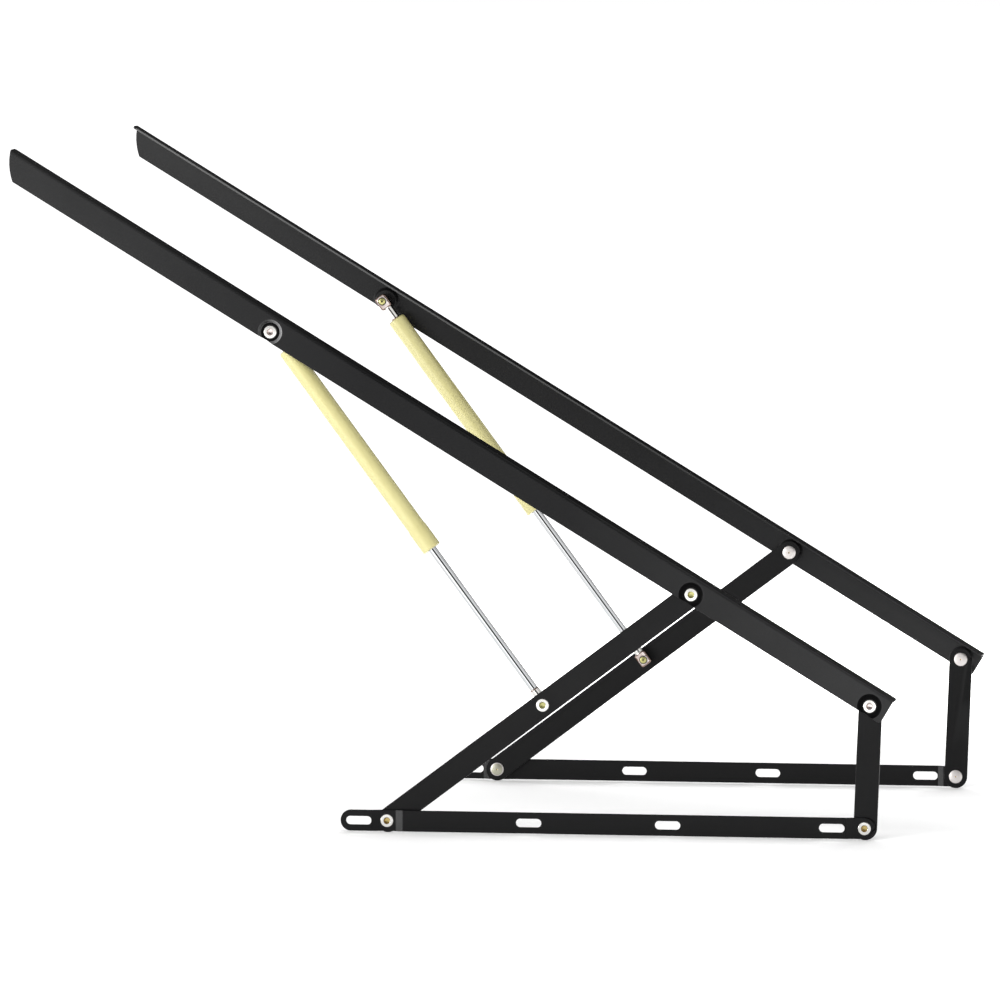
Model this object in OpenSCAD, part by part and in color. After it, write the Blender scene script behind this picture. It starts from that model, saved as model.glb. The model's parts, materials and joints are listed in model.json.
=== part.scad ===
// Pair of bed lift mechanisms, drawn fully open.
// Each unit is a slotted base bar, a long and a short link, an angle rail that carries
// the mattress frame, and a gas spring between the rail and the long link.
// X runs from the lifting foot end to the hinge end, Z is up, and the origin is on the
// ground at the middle of the pair. The right unit is at -Y and the left unit mirrors it.
// Inside a unit, Y is the depth behind the outer face, and Z = 0 is the base pivot line.

/* [Linkage] */
// Distance between the outer faces of the two units
unit_spacing = 720; // [200:1:1600]
// Distance between the two pivots of the base bar
base_pivots = 570; // [545:1:600]
// Pivot distance of the long link
long_link_l = 454; // [430:1:475]
// Pivot distance of the short link
short_link_l = 144; // [125:1:170]
// Distance between the two link pivots of the angle rail
rail_pivots = 248; // [230:1:270]
// Slope of the long link when the lift is open
open_angle = 36.8; // [33:0.1:39]
// Gas spring pivot on the rail, measured back from the long link pivot
spring_mount = 588; // [540:1:620]
// Gas spring pivot on the long link, measured up from the base pivot
spring_foot = 232; // [200:1:260]

/* [Base bar] */
// Height of the bar
base_h = 25; // [20:0.5:27]
// Thickness of the bar
base_t = 3; // [2:0.5:4]
// Length of the fixing tab in front of the first pivot
base_tab = 55.5; // [54:0.5:80]
// Length of the pressed seat at the first pivot
seat_l = 21; // [18:0.5:22]
// Length of the joggle behind the first seat
joggle_l = 9; // [7:0.5:12]
// Length of the steeper joggles that sit next to a slot
steep_joggle_l = 7; // [6:0.1:7]
// Distance from the second pivot back to its joggle
end_seat_l = 15.5; // [14:0.5:16]
// Middle radius of the bends of the bar
joggle_r = 4; // [3:0.5:6]
// Length of a fixing slot
base_slot_l = 30.5; // [20:0.5:31]
// Height of a fixing slot
base_slot_h = 10; // [6:0.5:12]
// Gap between a steep joggle and the slot beside it
slot_land = 0.9; // [0.9:0.1:3]
// Centre of the second slot, behind the first pivot
slot_a = 170; // [100:1:230]
// Centre of the third slot, behind the first pivot
slot_b = 336; // [280:1:400]

/* [Angle rail] */
// Height of the upright web
web_h = 32; // [30:0.5:40]
// Width of the flange that carries the mattress frame
flange_w = 26; // [20:0.5:40]
// Sheet thickness
rail_t = 2.5; // [2:0.1:3]
// Outer radius of the fold between web and flange
fold_r = 4; // [3.5:0.5:5]
// Height of the pivots above the lower edge of the web
pivot_rise = 11; // [10:0.5:13]
// Length of rail in front of the gas spring pivot
rail_front = 377.5; // [300:0.5:450]
// Length of rail behind the short link pivot
rail_back = 21; // [17:0.5:30]
// Radius of the curved cut at the front end
front_cut_r = 70; // [60:1:90]
// Height of the centre of that curve above the flange
front_cut_rise = 21.7; // [16:0.1:28]
// Radius of the web corners at the hinge end
web_corner_r = 3.5; // [1:0.5:6]
// Radius of the free corners of the flange
flange_corner_r = 5; // [2:0.5:8]
// Diameter of a pressed seat at the outer face
dimple_d = 29; // [26:0.5:30]
// Diameter of the flat floor of a pressed seat
dimple_floor_d = 22.8; // [19:0.1:24]
// Number of screw slots in the flange
flange_slots = 4; // [2:1:6]
// Length of a flange slot
flange_slot_l = 30; // [16:1:40]
// Width of a flange slot
flange_slot_w = 8; // [6:0.5:10]
// Distance from each end of the rail to its nearest flange slot
flange_slot_inset = 90; // [70:1:120]

/* [Links and pivots] */
// Width of both links
link_w = 28; // [27:0.5:30]
// Thickness of both links
link_t = 3; // [2:0.5:4]
// Depth of the seats' inner faces behind the mounting plane
seat_depth = 6; // [5.5:0.1:7]
// Thickness of the plastic washer at each link pivot
washer_t = 0.8; // [0.5:0.1:1.5]
// Diameter of the washers
washer_d = 20; // [18:0.5:22]
// Diameter of the rivet shanks and spring studs
rivet_d = 8; // [7:0.5:9]
// Outer diameter of the brass bushes in the links
bush_d = 10; // [9.5:0.1:12]
// Diameter of the ring head on the outer side
ring_head_d = 15.5; // [14:0.5:17]
// Thickness of the ring head
ring_head_t = 2.2; // [1.5:0.1:2.5]
// Diameter of the hole in the ring head
ring_hole_d = 7; // [5:0.1:7]
// Depth of the hole in the ring head
ring_hole_depth = 4.5; // [3:0.1:5]
// Edge break of the ring head
head_edge = 0.5; // [0.2:0.1:1]
// Diameter of the domed head on the inner side
dome_head_d = 17; // [15:0.5:18]
// Thickness of the domed head
dome_head_t = 2.2; // [1.5:0.1:3]
// Height of the upright rim of domed heads and buttons
dome_rim = 0.7; // [0.3:0.1:1.2]

/* [Gas spring] */
// Outer diameter of the cylinder
cylinder_d = 22; // [20:0.5:24]
// Length of the cylinder
cylinder_l = 290; // [270:1:310]
// Wall of the cylinder tube
tube_wall = 1.5; // [1:0.1:2]
// Distance from the top pivot to the closed end of the cylinder
cylinder_start = 27; // [25:0.5:32]
// How far the rolled edges of the tube reach in
lip_w = 2.5; // [1.5:0.1:3]
// Thickness of the rolled edges
lip_wall = 1; // [0.8:0.1:1.5]
// Outer radius of the rolled edges
roll_r = 2.5; // [1.8:0.1:3]
// Length of the plug in the closed end
plug_l = 9; // [6:0.5:14]
// Length of the collar round the open end
collar_l = 29; // [20:1:40]
// Wall of the collar
collar_wall = 0.6; // [0.5:0.1:1]
// Thickness of the end of the collar
collar_end_t = 1.2; // [0.8:0.1:2]
// Edge break at the end of the collar
collar_nose = 0.8; // [0.3:0.1:1]
// Edge break at the rim of the collar
collar_rim = 0.3; // [0.1:0.1:0.4]
// Radial gap between the collar and the rod
collar_rod_gap = 0.6; // [0.3:0.1:1.5]
// Diameter of the piston rod
rod_d = 10; // [8:0.5:10]
// Length of the rod guide
guide_l = 14; // [10:0.5:20]
// Length of the lip seal behind the guide
seal_l = 5; // [3:0.5:8]
// Distance from the seal to the piston when the spring is fully out
piston_gap = 6; // [2:0.5:12]
// Length of the piston
piston_l = 10; // [8:0.5:14]
// Width of the piston ring
ring_w = 2.4; // [1.5:0.1:4]
// Depth of the piston ring's groove below the bore
ring_depth = 1.6; // [1:0.1:2.5]
// Diameter of the stems that hold the piston and the end fittings
stem_d = 6; // [5:0.5:6.5]
// Depth of a stem in the block of its end fitting
stem_depth = 3; // [1:0.5:3]
// Thickness of the piston nut
nut_t = 4; // [3:0.5:6]
// Width of the piston nut over its corners
nut_w = 11.5; // [10:0.5:13]
// How far the stem stands out of the piston nut
nut_stem = 1; // [0.5:0.5:3]
// Length of an end fitting along the spring
eye_l = 17.6; // [17:0.1:20]
// Height of an end fitting
eye_h = 14.6; // [14:0.1:18]
// Thickness of an end fitting
eye_t = 12; // [11:0.5:13]
// Corner radius of an end fitting
eye_r = 3; // [2:0.5:4]
// Diameter of the neck of an end fitting
neck_d = 11; // [10:0.1:11]
// Distance from the lower pivot to the shoulder of the rod
rod_fitting_l = 22; // [18:0.5:26]
// Diameter of the shoulder that spaces a fitting from its bar
shoulder_d = 12; // [11:0.5:14]
// Diameter of the button head that keeps a fitting on its stud
button_d = 12; // [10:0.5:13]
// Thickness of the button head
button_t = 2.4; // [1.5:0.1:3]

/* [Clearances] */
// Radial running clearance of every pivot and of the rod in its guide
running_fit = 0.05; // [0.02:0.01:0.1]
// Side clearance between parts that turn on each other
side_play = 0.15; // [0.1:0.01:0.3]
// Radial clearance of parts that are pressed together
press_gap = 0.02; // [0.01:0.01:0.05]
// Clearance between the gas spring and the inner face of the long link
spring_clear = 0.8; // [0.5:0.1:3]

/* [Hidden] */
$fn = 64;

// Finishes
coat = [0.07, 0.07, 0.08];
nickel = [0.82, 0.81, 0.78];
zinc = [0.72, 0.68, 0.60];
brass = [0.78, 0.62, 0.32];
cream = [0.86, 0.83, 0.58];
chrome = [0.80, 0.81, 0.83];
rubber = [0.10, 0.10, 0.10];

// How far a cutting solid runs past the face that it cuts
past = 1;
// Steps in a bend of the base bar, a rolled edge and a domed head
bend_steps = 5;
roll_steps = 6;
dome_steps = 5;

// The four pivots of the linkage at rest, as [x, z]
function polar(r, a) = [r * cos(a), r * sin(a)];
function slope(v) = atan2(v.y, v.x);
first_base = [0, 0];
second_base = [base_pivots, 0];
long_top = polar(long_link_l, open_angle);
span = norm(second_base - long_top);
span_dir = (second_base - long_top) / span;
span_foot = (pow(rail_pivots, 2) - pow(short_link_l, 2) + pow(span, 2)) / (2 * span);
span_rise = sqrt(pow(rail_pivots, 2) - pow(span_foot, 2));
short_top = long_top + span_dir * span_foot + [-span_dir.y, span_dir.x] * span_rise;
short_angle = slope(short_top - second_base);
rail_dir = (short_top - long_top) / rail_pivots;
rail_normal = [-rail_dir.y, rail_dir.x];
rail_angle = slope(rail_dir);

// The gas spring's two pivots at rest
spring_top = long_top - rail_dir * spring_mount;
spring_end = polar(spring_foot, open_angle);
spring_l = norm(spring_end - spring_top);
spring_angle = slope(spring_end - spring_top);

// Depths behind the outer face
base_joggle = seat_depth - base_t;
dimple_depth = seat_depth - rail_t;
washer_end = seat_depth + washer_t;
link_start = washer_end + side_play;
link_end = link_start + link_t;
dome_start = link_end + side_play;
collar_d = cylinder_d + 2 * (collar_wall + press_gap);
spring_depth = link_end + spring_clear + collar_d / 2;
eye_start = spring_depth - eye_t / 2;
shoulder_end = eye_start - side_play;
button_start = spring_depth + eye_t / 2 + side_play;

// The angle rail, measured along it from the long link pivot
web_top = web_h - pivot_rise;
rail_start = -spring_mount - rail_front;
rail_end = rail_pivots + rail_back;
rail_l = rail_end - rail_start;
flange_slot_pitch = (rail_l - 2 * flange_slot_inset) / (flange_slots - 1);
flange_slot_depth = (fold_r + flange_w) / 2;
seats_on_rail = [-spring_mount, 0, rail_pivots];
// The front curve meets the top of the flange at the rail's front end
front_run = sqrt(pow(front_cut_r, 2) - pow(front_cut_rise, 2));
front_cut = [rail_start + front_run, web_top + front_cut_rise];

// Radii that fit one another
pin_r = rivet_d / 2;
pin_bore_r = pin_r + running_fit;
bush_bore_r = bush_d / 2 + press_gap;
tube_r = cylinder_d / 2;
tube_bore_r = tube_r - tube_wall;
lip_r = tube_bore_r - lip_w;
in_bore_r = tube_bore_r - press_gap;
stem_r = stem_d / 2;
stem_bore_r = stem_r + press_gap;
rod_r = rod_d / 2;
rod_bore_r = rod_r + running_fit;
collar_r = collar_d / 2;
collar_bore_r = tube_r + press_gap;
piston_r = tube_bore_r - 2 * running_fit;
groove_r = tube_bore_r - ring_depth;

// Distances along the spring from its top pivot
block_end = eye_l - eye_h / 2;
stem_start = block_end - stem_depth;
plug_start = cylinder_start + lip_wall + press_gap;
tube_end = cylinder_start + cylinder_l;
collar_start = tube_end - collar_l;
collar_end = tube_end + press_gap + collar_end_t;
guide_end = tube_end - lip_wall;
seal_end = guide_end - guide_l - press_gap;
piston_end = seal_end - seal_l - piston_gap;
piston_start = piston_end - piston_l;
groove_start = (piston_start + piston_end - ring_w) / 2;
nut_start = piston_start - press_gap - nut_t;
rod_end = spring_l - rod_fitting_l - press_gap;

// The whole pair is centred between its front and back reach
front_reach = long_top.x + front_cut.x * rail_dir.x + front_cut.y * rail_normal.x - front_cut_r;
back_reach = long_top.x + rail_end * rail_dir.x + web_top * rail_normal.x;
centre_x = (front_reach + back_reach) / 2;

// Places in a unit
module right_unit() {
    translate([-centre_x, -unit_spacing / 2, link_w / 2]) children();
}

module left_unit() {
    mirror([0, 1, 0]) right_unit() children();
}

// Puts a shape at a pivot, turned up by an angle
module at(pivot, angle = 0) {
    translate([pivot.x, 0, pivot.y]) rotate([0, -angle, 0]) children();
}

module on_long_link() {
    at(first_base, open_angle) children();
}

module on_short_link() {
    at(second_base, short_angle) children();
}

module on_rail() {
    at(long_top, rail_angle) children();
}

// The spring's own line, with X running from its top pivot to its lower one
module on_spring() {
    at(spring_top, spring_angle) translate([0, spring_depth, 0]) children();
}

// Shapes in the depth direction
module bore(x, depth, l, r) {
    translate([x, depth, 0]) rotate([-90, 0, 0]) cylinder(h = l, r = r);
}

module plate(depth, t) {
    translate([0, depth + t, 0]) rotate([90, 0, 0]) linear_extrude(t) children();
}

// A solid turned about the depth direction from a profile of [radius, depth] points
module turned(points, x = 0) {
    translate([x, 0, 0]) rotate([-90, 0, 0]) rotate_extrude() polygon(points);
}

// A solid turned about the spring's line from a profile of [radius, distance] points
module turned_along(points) {
    rotate([0, 90, 0]) rotate_extrude() polygon(points);
}

module along(from, to, r) {
    translate([from, 0, 0]) rotate([0, 90, 0]) cylinder(h = to - from, r = r);
}

module sleeve(from, to, r_out, r_in) {
    turned_along([[r_in, from], [r_out, from], [r_out, to], [r_in, to]]);
}

// A bar with round ends, from one centre to another along X
module round_bar(x0, x1, w) {
    translate([x0, -w / 2]) square([x1 - x0, w]);
    translate([x0, 0]) circle(d = w);
    translate([x1, 0]) circle(d = w);
}

module slot(x, l, w) {
    round_bar(x - (l - w) / 2, x + (l - w) / 2, w);
}

module rounded_box(x0, x1, h, r) {
    translate([x0 + r, -h / 2]) square([x1 - x0 - 2 * r, h]);
    translate([x0, -h / 2 + r]) square([x1 - x0, h - 2 * r]);
    for (x = [x0 + r, x1 - r], z = [-h / 2 + r, h / 2 - r]) translate([x, z]) circle(r = r);
}

// One side of a bent strip: the middle line moved sideways, with round bends
function heading(p, i) = slope(p[i + 1] - p[i]);
function across(a) = [-sin(a), cos(a)];
function bend_centre(p, i, r) =
    let (a = heading(p, i - 1), b = heading(p, i))
    p[i] + sign(b - a) * r / cos((b - a) / 2) * across((a + b) / 2);
function bend(p, i, r, side) =
    let (a = heading(p, i - 1), b = heading(p, i), c = bend_centre(p, i, r))
    [for (k = [0:bend_steps]) c + (side - sign(b - a) * r) * across(a + (b - a) * k / bend_steps)];
function strip_side(p, r, side) = [
    p[0] + side * across(heading(p, 0)),
    for (i = [1:len(p) - 2]) each bend(p, i, r, side),
    p[len(p) - 1] + side * across(heading(p, len(p) - 2))
];
function reversed(p) = [for (i = [len(p) - 1:-1:0]) p[i]];
function strip(p, r, t) = concat(strip_side(p, r, t / 2), reversed(strip_side(p, r, -t / 2)));

// Rivets and studs are turned from outlines that run from the outer end to the inner one.
// The ring head is flat with a blind hole, and ends in a shank
function ring_head(seat, end) =
    let (face = seat - ring_head_t, hole_end = face + ring_hole_depth, r = ring_head_d / 2)
    [
        [0, hole_end], [ring_hole_d / 2, hole_end], [ring_hole_d / 2, face],
        [r - head_edge, face], [r, face + head_edge], [r, seat], [pin_r, seat], [pin_r, end]
    ];

// A plain shank that starts square
function shank(start, end) = [[0, start], [pin_r, start], [pin_r, end]];

// A domed end: an upright rim and a quarter of an ellipse up to the axis
function dome(start, d, t) = [
    [d / 2, start],
    for (k = [0:dome_steps])
        let (a = 90 * k / dome_steps)
        [d / 2 * cos(a), start + dome_rim + (t - dome_rim) * sin(a)]
];
function domed_head() = dome(dome_start, dome_head_d, dome_head_t);
function button() = concat([[pin_r, button_start]], dome(button_start, button_d, button_t));
function shoulder(start) = [[shoulder_d / 2, start], [shoulder_d / 2, shoulder_end]];

module full_rivet(x, seat) {
    turned(concat(ring_head(seat, dome_start), domed_head()), x);
}

// The rivet of the short link on the base bar is in two halves, which meet beside the washer
module outer_half_rivet(x, seat) {
    turned(concat(ring_head(seat, washer_end), [[0, washer_end]]), x);
}

module inner_half_rivet(x) {
    turned(concat(shank(link_start, dome_start), domed_head()), x);
}

module washer(x) {
    difference() {
        bore(x, seat_depth, washer_t, washer_d / 2);
        bore(x, seat_depth - past, washer_t + 2 * past, pin_bore_r);
    }
}

module bush(x) {
    difference() {
        bore(x, link_start, link_t, bush_d / 2);
        bore(x, link_start - past, link_t + 2 * past, pin_bore_r);
    }
}

// Base bar, with its seats pressed inward at both pivots
tab_end = -seat_l / 2 - steep_joggle_l;
bar_end = base_pivots - end_seat_l - steep_joggle_l;
base_slots = [
    tab_end - slot_land - base_slot_l / 2, slot_a, slot_b, bar_end - slot_land - base_slot_l / 2
];
base_path = [
    [-base_tab, base_t / 2],
    [tab_end, base_t / 2],
    [-seat_l / 2, base_joggle + base_t / 2],
    [seat_l / 2, base_joggle + base_t / 2],
    [seat_l / 2 + joggle_l, base_t / 2],
    [bar_end, base_t / 2],
    [base_pivots - end_seat_l, base_joggle + base_t / 2],
    [base_pivots + base_h / 2, base_joggle + base_t / 2]
];

module base_rail() {
    color(coat) difference() {
        intersection() {
            linear_extrude(base_h, center = true) polygon(strip(base_path, joggle_r, base_t));
            plate(-past, seat_depth + 2 * past) round_bar(-base_tab + base_h / 2, base_pivots, base_h);
        }
        plate(-past, seat_depth + 2 * past) {
            for (x = base_slots) slot(x, base_slot_l, base_slot_h);
        }
        for (x = [0, base_pivots]) bore(x, -past, seat_depth + 2 * past, pin_r + press_gap);
    }
}

module base_rivets() {
    color(nickel) {
        full_rivet(0, base_joggle);
        outer_half_rivet(base_pivots, base_joggle);
    }
}

module base_rivet_head() {
    color(nickel) on_short_link() inner_half_rivet(0);
}

module base_washers() {
    color(rubber) for (x = [0, base_pivots]) washer(x);
}

// Links
module link(l) {
    plate(link_start, link_t) difference() {
        round_bar(0, l, link_w);
        for (x = [0, l]) translate([x, 0]) circle(r = bush_bore_r);
    }
}

module long_link() {
    color(coat) on_long_link() difference() {
        link(long_link_l);
        bore(spring_foot, link_start - past, link_t + 2 * past, pin_r + press_gap);
    }
}

module long_link_bushes() {
    color(brass) on_long_link() for (x = [0, long_link_l]) bush(x);
}

module link_stud() {
    color(nickel) on_long_link() turned(concat(
        ring_head(link_start, link_end), shoulder(link_end), [[0, shoulder_end]]
    ), spring_foot);
}

module short_link() {
    color(coat) on_short_link() link(short_link_l);
}

module short_link_bushes() {
    color(brass) on_short_link() for (x = [0, short_link_l]) bush(x);
}

// Angle rail
module angle_section() {
    translate([0, -pivot_rise]) square([rail_t, web_h - fold_r]);
    translate([fold_r, web_top - rail_t]) square([flange_w - fold_r, rail_t]);
    translate([fold_r, web_top - fold_r]) intersection() {
        difference() {
            circle(r = fold_r);
            circle(r = fold_r - rail_t);
        }
        translate([-fold_r, 0]) square(fold_r);
    }
}

// Side view of the rail, square behind and curved in front
module rail_outline() {
    translate([front_cut.x, -pivot_rise]) square([rail_end - front_cut.x, web_h]);
    intersection() {
        translate(front_cut) circle(r = front_cut_r, $fn = 128);
        translate([rail_start - front_cut_r, -pivot_rise]) square([2 * front_cut_r, web_h]);
    }
}

// Each seat is a drawn cone with a flat floor, and it runs out through the lower edge
module seat_cone(x, r_out, r_in, from, to) {
    turned([[0, from], [r_out, from], [r_in, to], [0, to]], x);
}

wall_lean = (dimple_d - dimple_floor_d) / 2 / dimple_depth;
wall_offset = rail_t * sqrt(1 + pow(wall_lean, 2));
back_r = dimple_d / 2 - wall_lean * rail_t + wall_offset;
back_floor_r = dimple_floor_d / 2 - wall_lean * rail_t + wall_offset;

// What is cut away outside a round corner whose point is at the origin
module corner_cut(r) {
    translate([-r, -r]) difference() {
        square(r + past);
        circle(r = r);
    }
}

// Everything cut through the flange, seen from above
module flange_cuts() {
    for (k = [0:flange_slots - 1])
        translate([rail_start + flange_slot_inset + k * flange_slot_pitch, flange_slot_depth])
            slot(0, flange_slot_l, flange_slot_w);
    translate([rail_end, flange_w]) corner_cut(flange_corner_r);
    translate([rail_start, flange_w]) mirror([1, 0]) corner_cut(flange_corner_r);
}

// Round corners of the web at the hinge end; the upper one stops at the fold
module web_corners() {
    plate(-past, fold_r + past) translate([rail_end, web_top]) corner_cut(web_corner_r);
    plate(-past, seat_depth + past)
        translate([rail_end, -pivot_rise]) mirror([0, 1]) corner_cut(web_corner_r);
}

module upper_rail() {
    color(coat) on_rail() difference() {
        intersection() {
            union() {
                translate([rail_start - front_cut_r, 0, 0]) rotate([90, 0, 90])
                    linear_extrude(rail_l + front_cut_r) angle_section();
                for (x = seats_on_rail) seat_cone(x, back_r, back_floor_r, rail_t, seat_depth);
            }
            plate(-past, flange_w + 2 * past) rail_outline();
        }
        for (x = seats_on_rail) {
            seat_cone(x, dimple_d / 2, dimple_floor_d / 2, 0, dimple_depth);
            bore(x, 0, seat_depth + past, pin_r + press_gap);
        }
        translate([0, 0, web_top - rail_t - past]) linear_extrude(rail_t + 2 * past) flange_cuts();
        web_corners();
    }
}

module long_rivet() {
    color(nickel) on_rail() full_rivet(0, dimple_depth);
}

module short_rivet() {
    color(nickel) on_rail() full_rivet(rail_pivots, dimple_depth);
}

module rail_washers() {
    color(rubber) on_rail() for (x = [0, rail_pivots]) washer(x);
}

module rail_stud() {
    color(nickel) on_rail() turned(concat(
        ring_head(dimple_depth, seat_depth), shoulder(seat_depth), [[pin_r, shoulder_end]], button()
    ), -spring_mount);
}

// Gas spring fittings: a rounded block with a cross bore and a bored neck along the spring
module fitting(neck_end) {
    difference() {
        union() {
            plate(-eye_t / 2, eye_t) rounded_box(-eye_h / 2, block_end, eye_h, eye_r);
            along(block_end - past, neck_end, neck_d / 2);
        }
        bore(0, -eye_t / 2 - past, eye_t + 2 * past, pin_bore_r);
        along(stem_start - press_gap, neck_end + past, stem_bore_r);
    }
}

module cylinder_fitting() {
    color(zinc) on_spring() fitting(cylinder_start - press_gap);
}

module rod_fitting() {
    color(zinc) on_spring() translate([spring_l, 0, 0]) rotate([0, 180, 0]) fitting(rod_fitting_l);
}

module rod_pin() {
    color(nickel) at(spring_top, spring_angle)
        turned(concat([[0, eye_start], [pin_r, eye_start]], button()), spring_l);
}

// Closed end: a plug under the rolled edge, with the stem that the fitting screws on
module cylinder_plug() {
    color(cream) on_spring() {
        along(stem_start, plug_start + past, stem_r);
        along(plug_start, plug_start + plug_l, in_bore_r);
    }
}

// Tube with both edges rolled in over the plug and the guide
function roll(from, to, centre) =
    [for (k = [0:roll_steps]) centre + polar(roll_r, from + (to - from) * k / roll_steps)];

module cylinder_tube() {
    color(cream) on_spring() turned_along(concat(
        [[lip_r, cylinder_start]],
        roll(-90, 0, [tube_r - roll_r, cylinder_start + roll_r]),
        roll(0, 90, [tube_r - roll_r, tube_end - roll_r]),
        [[lip_r, tube_end], [lip_r, tube_end - lip_wall], [tube_bore_r, tube_end - lip_wall]],
        [[tube_bore_r, cylinder_start + lip_wall], [lip_r, cylinder_start + lip_wall]]
    ));
}

// Collar pushed over the open end, with a wall that the rod runs through
module cylinder_collar() {
    hole_r = rod_r + collar_rod_gap;
    color(cream) on_spring() turned_along([
        [collar_bore_r, collar_start], [collar_r - collar_rim, collar_start],
        [collar_r, collar_start + collar_rim], [collar_r, collar_end - collar_nose],
        [collar_r - collar_nose, collar_end], [hole_r, collar_end],
        [hole_r, tube_end + press_gap], [collar_bore_r, tube_end + press_gap]
    ]);
}

// Inside the tube
module rod_guide() {
    color(brass) on_spring() sleeve(guide_end - guide_l, guide_end - press_gap, in_bore_r, rod_bore_r);
}

module rod_seal() {
    color(rubber) on_spring() sleeve(seal_end - seal_l, seal_end, in_bore_r, rod_bore_r);
}

module piston() {
    groove_end = groove_start + ring_w;
    color(zinc) on_spring() turned_along([
        [stem_bore_r, piston_start], [piston_r, piston_start], [piston_r, groove_start],
        [groove_r, groove_start], [groove_r, groove_end], [piston_r, groove_end],
        [piston_r, piston_end], [stem_bore_r, piston_end]
    ]);
}

module piston_ring() {
    color(rubber) on_spring() sleeve(
        groove_start + press_gap, groove_start + ring_w - press_gap,
        tube_bore_r - running_fit, groove_r + press_gap
    );
}

module piston_nut() {
    color(zinc) on_spring() difference() {
        translate([nut_start, 0, 0]) rotate([0, 90, 0]) cylinder(h = nut_t, d = nut_w, $fn = 6);
        along(nut_start - past, nut_start + nut_t + past, stem_bore_r);
    }
}

// The rod steps down to a stem at the piston and at its fitting
module piston_rod() {
    color(chrome) on_spring() turned_along([
        [0, nut_start - nut_stem], [stem_r, nut_start - nut_stem],
        [stem_r, piston_end + press_gap], [rod_r, piston_end + press_gap],
        [rod_r, rod_end], [stem_r, rod_end],
        [stem_r, spring_l - stem_start], [0, spring_l - stem_start]
    ]);
}

right_unit() base_rail();  // right_base_rail
right_unit() base_rivets();  // right_base_rivets
right_unit() base_washers();  // right_base_washers
right_unit() long_link();  // right_long_link
right_unit() long_link_bushes();  // right_long_link_bushes
right_unit() link_stud();  // right_link_stud
right_unit() upper_rail();  // right_upper_rail
right_unit() long_rivet();  // right_long_rivet
right_unit() short_rivet();  // right_short_rivet
right_unit() rail_washers();  // right_rail_washers
right_unit() rail_stud();  // right_rail_stud
right_unit() short_link();  // right_short_link
right_unit() short_link_bushes();  // right_short_link_bushes
right_unit() base_rivet_head();  // right_base_rivet_head
right_unit() cylinder_fitting();  // right_cylinder_fitting
right_unit() cylinder_plug();  // right_cylinder_plug
right_unit() cylinder_tube();  // right_cylinder_tube
right_unit() cylinder_collar();  // right_cylinder_collar
right_unit() rod_guide();  // right_rod_guide
right_unit() rod_seal();  // right_rod_seal
right_unit() piston();  // right_piston
right_unit() piston_ring();  // right_piston_ring
right_unit() piston_nut();  // right_piston_nut
right_unit() piston_rod();  // right_piston_rod
right_unit() rod_fitting();  // right_rod_fitting
right_unit() rod_pin();  // right_rod_pin
left_unit() base_rail();  // left_base_rail
left_unit() base_rivets();  // left_base_rivets
left_unit() base_washers();  // left_base_washers
left_unit() long_link();  // left_long_link
left_unit() long_link_bushes();  // left_long_link_bushes
left_unit() link_stud();  // left_link_stud
left_unit() upper_rail();  // left_upper_rail
left_unit() long_rivet();  // left_long_rivet
left_unit() short_rivet();  // left_short_rivet
left_unit() rail_washers();  // left_rail_washers
left_unit() rail_stud();  // left_rail_stud
left_unit() short_link();  // left_short_link
left_unit() short_link_bushes();  // left_short_link_bushes
left_unit() base_rivet_head();  // left_base_rivet_head
left_unit() cylinder_fitting();  // left_cylinder_fitting
left_unit() cylinder_plug();  // left_cylinder_plug
left_unit() cylinder_tube();  // left_cylinder_tube
left_unit() cylinder_collar();  // left_cylinder_collar
left_unit() rod_guide();  // left_rod_guide
left_unit() rod_seal();  // left_rod_seal
left_unit() piston();  // left_piston
left_unit() piston_ring();  // left_piston_ring
left_unit() piston_nut();  // left_piston_nut
left_unit() piston_rod();  // left_piston_rod
left_unit() rod_fitting();  // left_rod_fitting
left_unit() rod_pin();  // left_rod_pin
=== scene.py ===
"""Pair of bed lift mechanisms on a white studio floor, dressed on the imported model's frame.

Each unit has a black base bar, a long and a short link, an angle rail and a gas spring with a
cream cylinder. Sizes are in millimetres, as the model's source has them, and every mesh is put
into the shared frame in metres.
"""

import json
import logging
import math
from dataclasses import dataclass, field
from enum import Enum, IntEnum

import bmesh
import bpy
import numpy as np
from mathutils import Matrix, Vector


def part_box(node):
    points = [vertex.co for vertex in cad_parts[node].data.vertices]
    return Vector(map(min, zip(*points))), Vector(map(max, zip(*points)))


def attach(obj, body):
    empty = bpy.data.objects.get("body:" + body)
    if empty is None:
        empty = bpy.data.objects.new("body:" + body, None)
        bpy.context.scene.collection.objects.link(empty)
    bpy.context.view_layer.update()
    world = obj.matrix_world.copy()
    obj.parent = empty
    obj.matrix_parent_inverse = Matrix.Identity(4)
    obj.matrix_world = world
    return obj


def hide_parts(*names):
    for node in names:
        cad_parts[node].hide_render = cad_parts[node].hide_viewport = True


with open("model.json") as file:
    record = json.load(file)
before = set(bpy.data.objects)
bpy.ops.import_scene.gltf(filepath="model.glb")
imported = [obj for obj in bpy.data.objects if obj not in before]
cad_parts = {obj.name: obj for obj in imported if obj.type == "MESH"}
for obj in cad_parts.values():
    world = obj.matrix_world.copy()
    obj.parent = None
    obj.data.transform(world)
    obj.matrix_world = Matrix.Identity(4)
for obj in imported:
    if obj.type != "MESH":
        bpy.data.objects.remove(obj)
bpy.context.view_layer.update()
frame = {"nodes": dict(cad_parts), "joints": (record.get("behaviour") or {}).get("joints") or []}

log = logging.getLogger("bed_lift")

MM = 0.001
SAME_PLACE = 0.1 * MM
ON_AXIS = 1e-6
DEPTH_AXIS = np.array([0.0, 1.0, 0.0])

# Corner radii of turned profiles, in millimetres.
CRISP, FINE, EASED, SOFT = 0.05, 0.1, 0.2, 0.3

WHITE = (1.0, 1.0, 1.0, 1.0)

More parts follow.
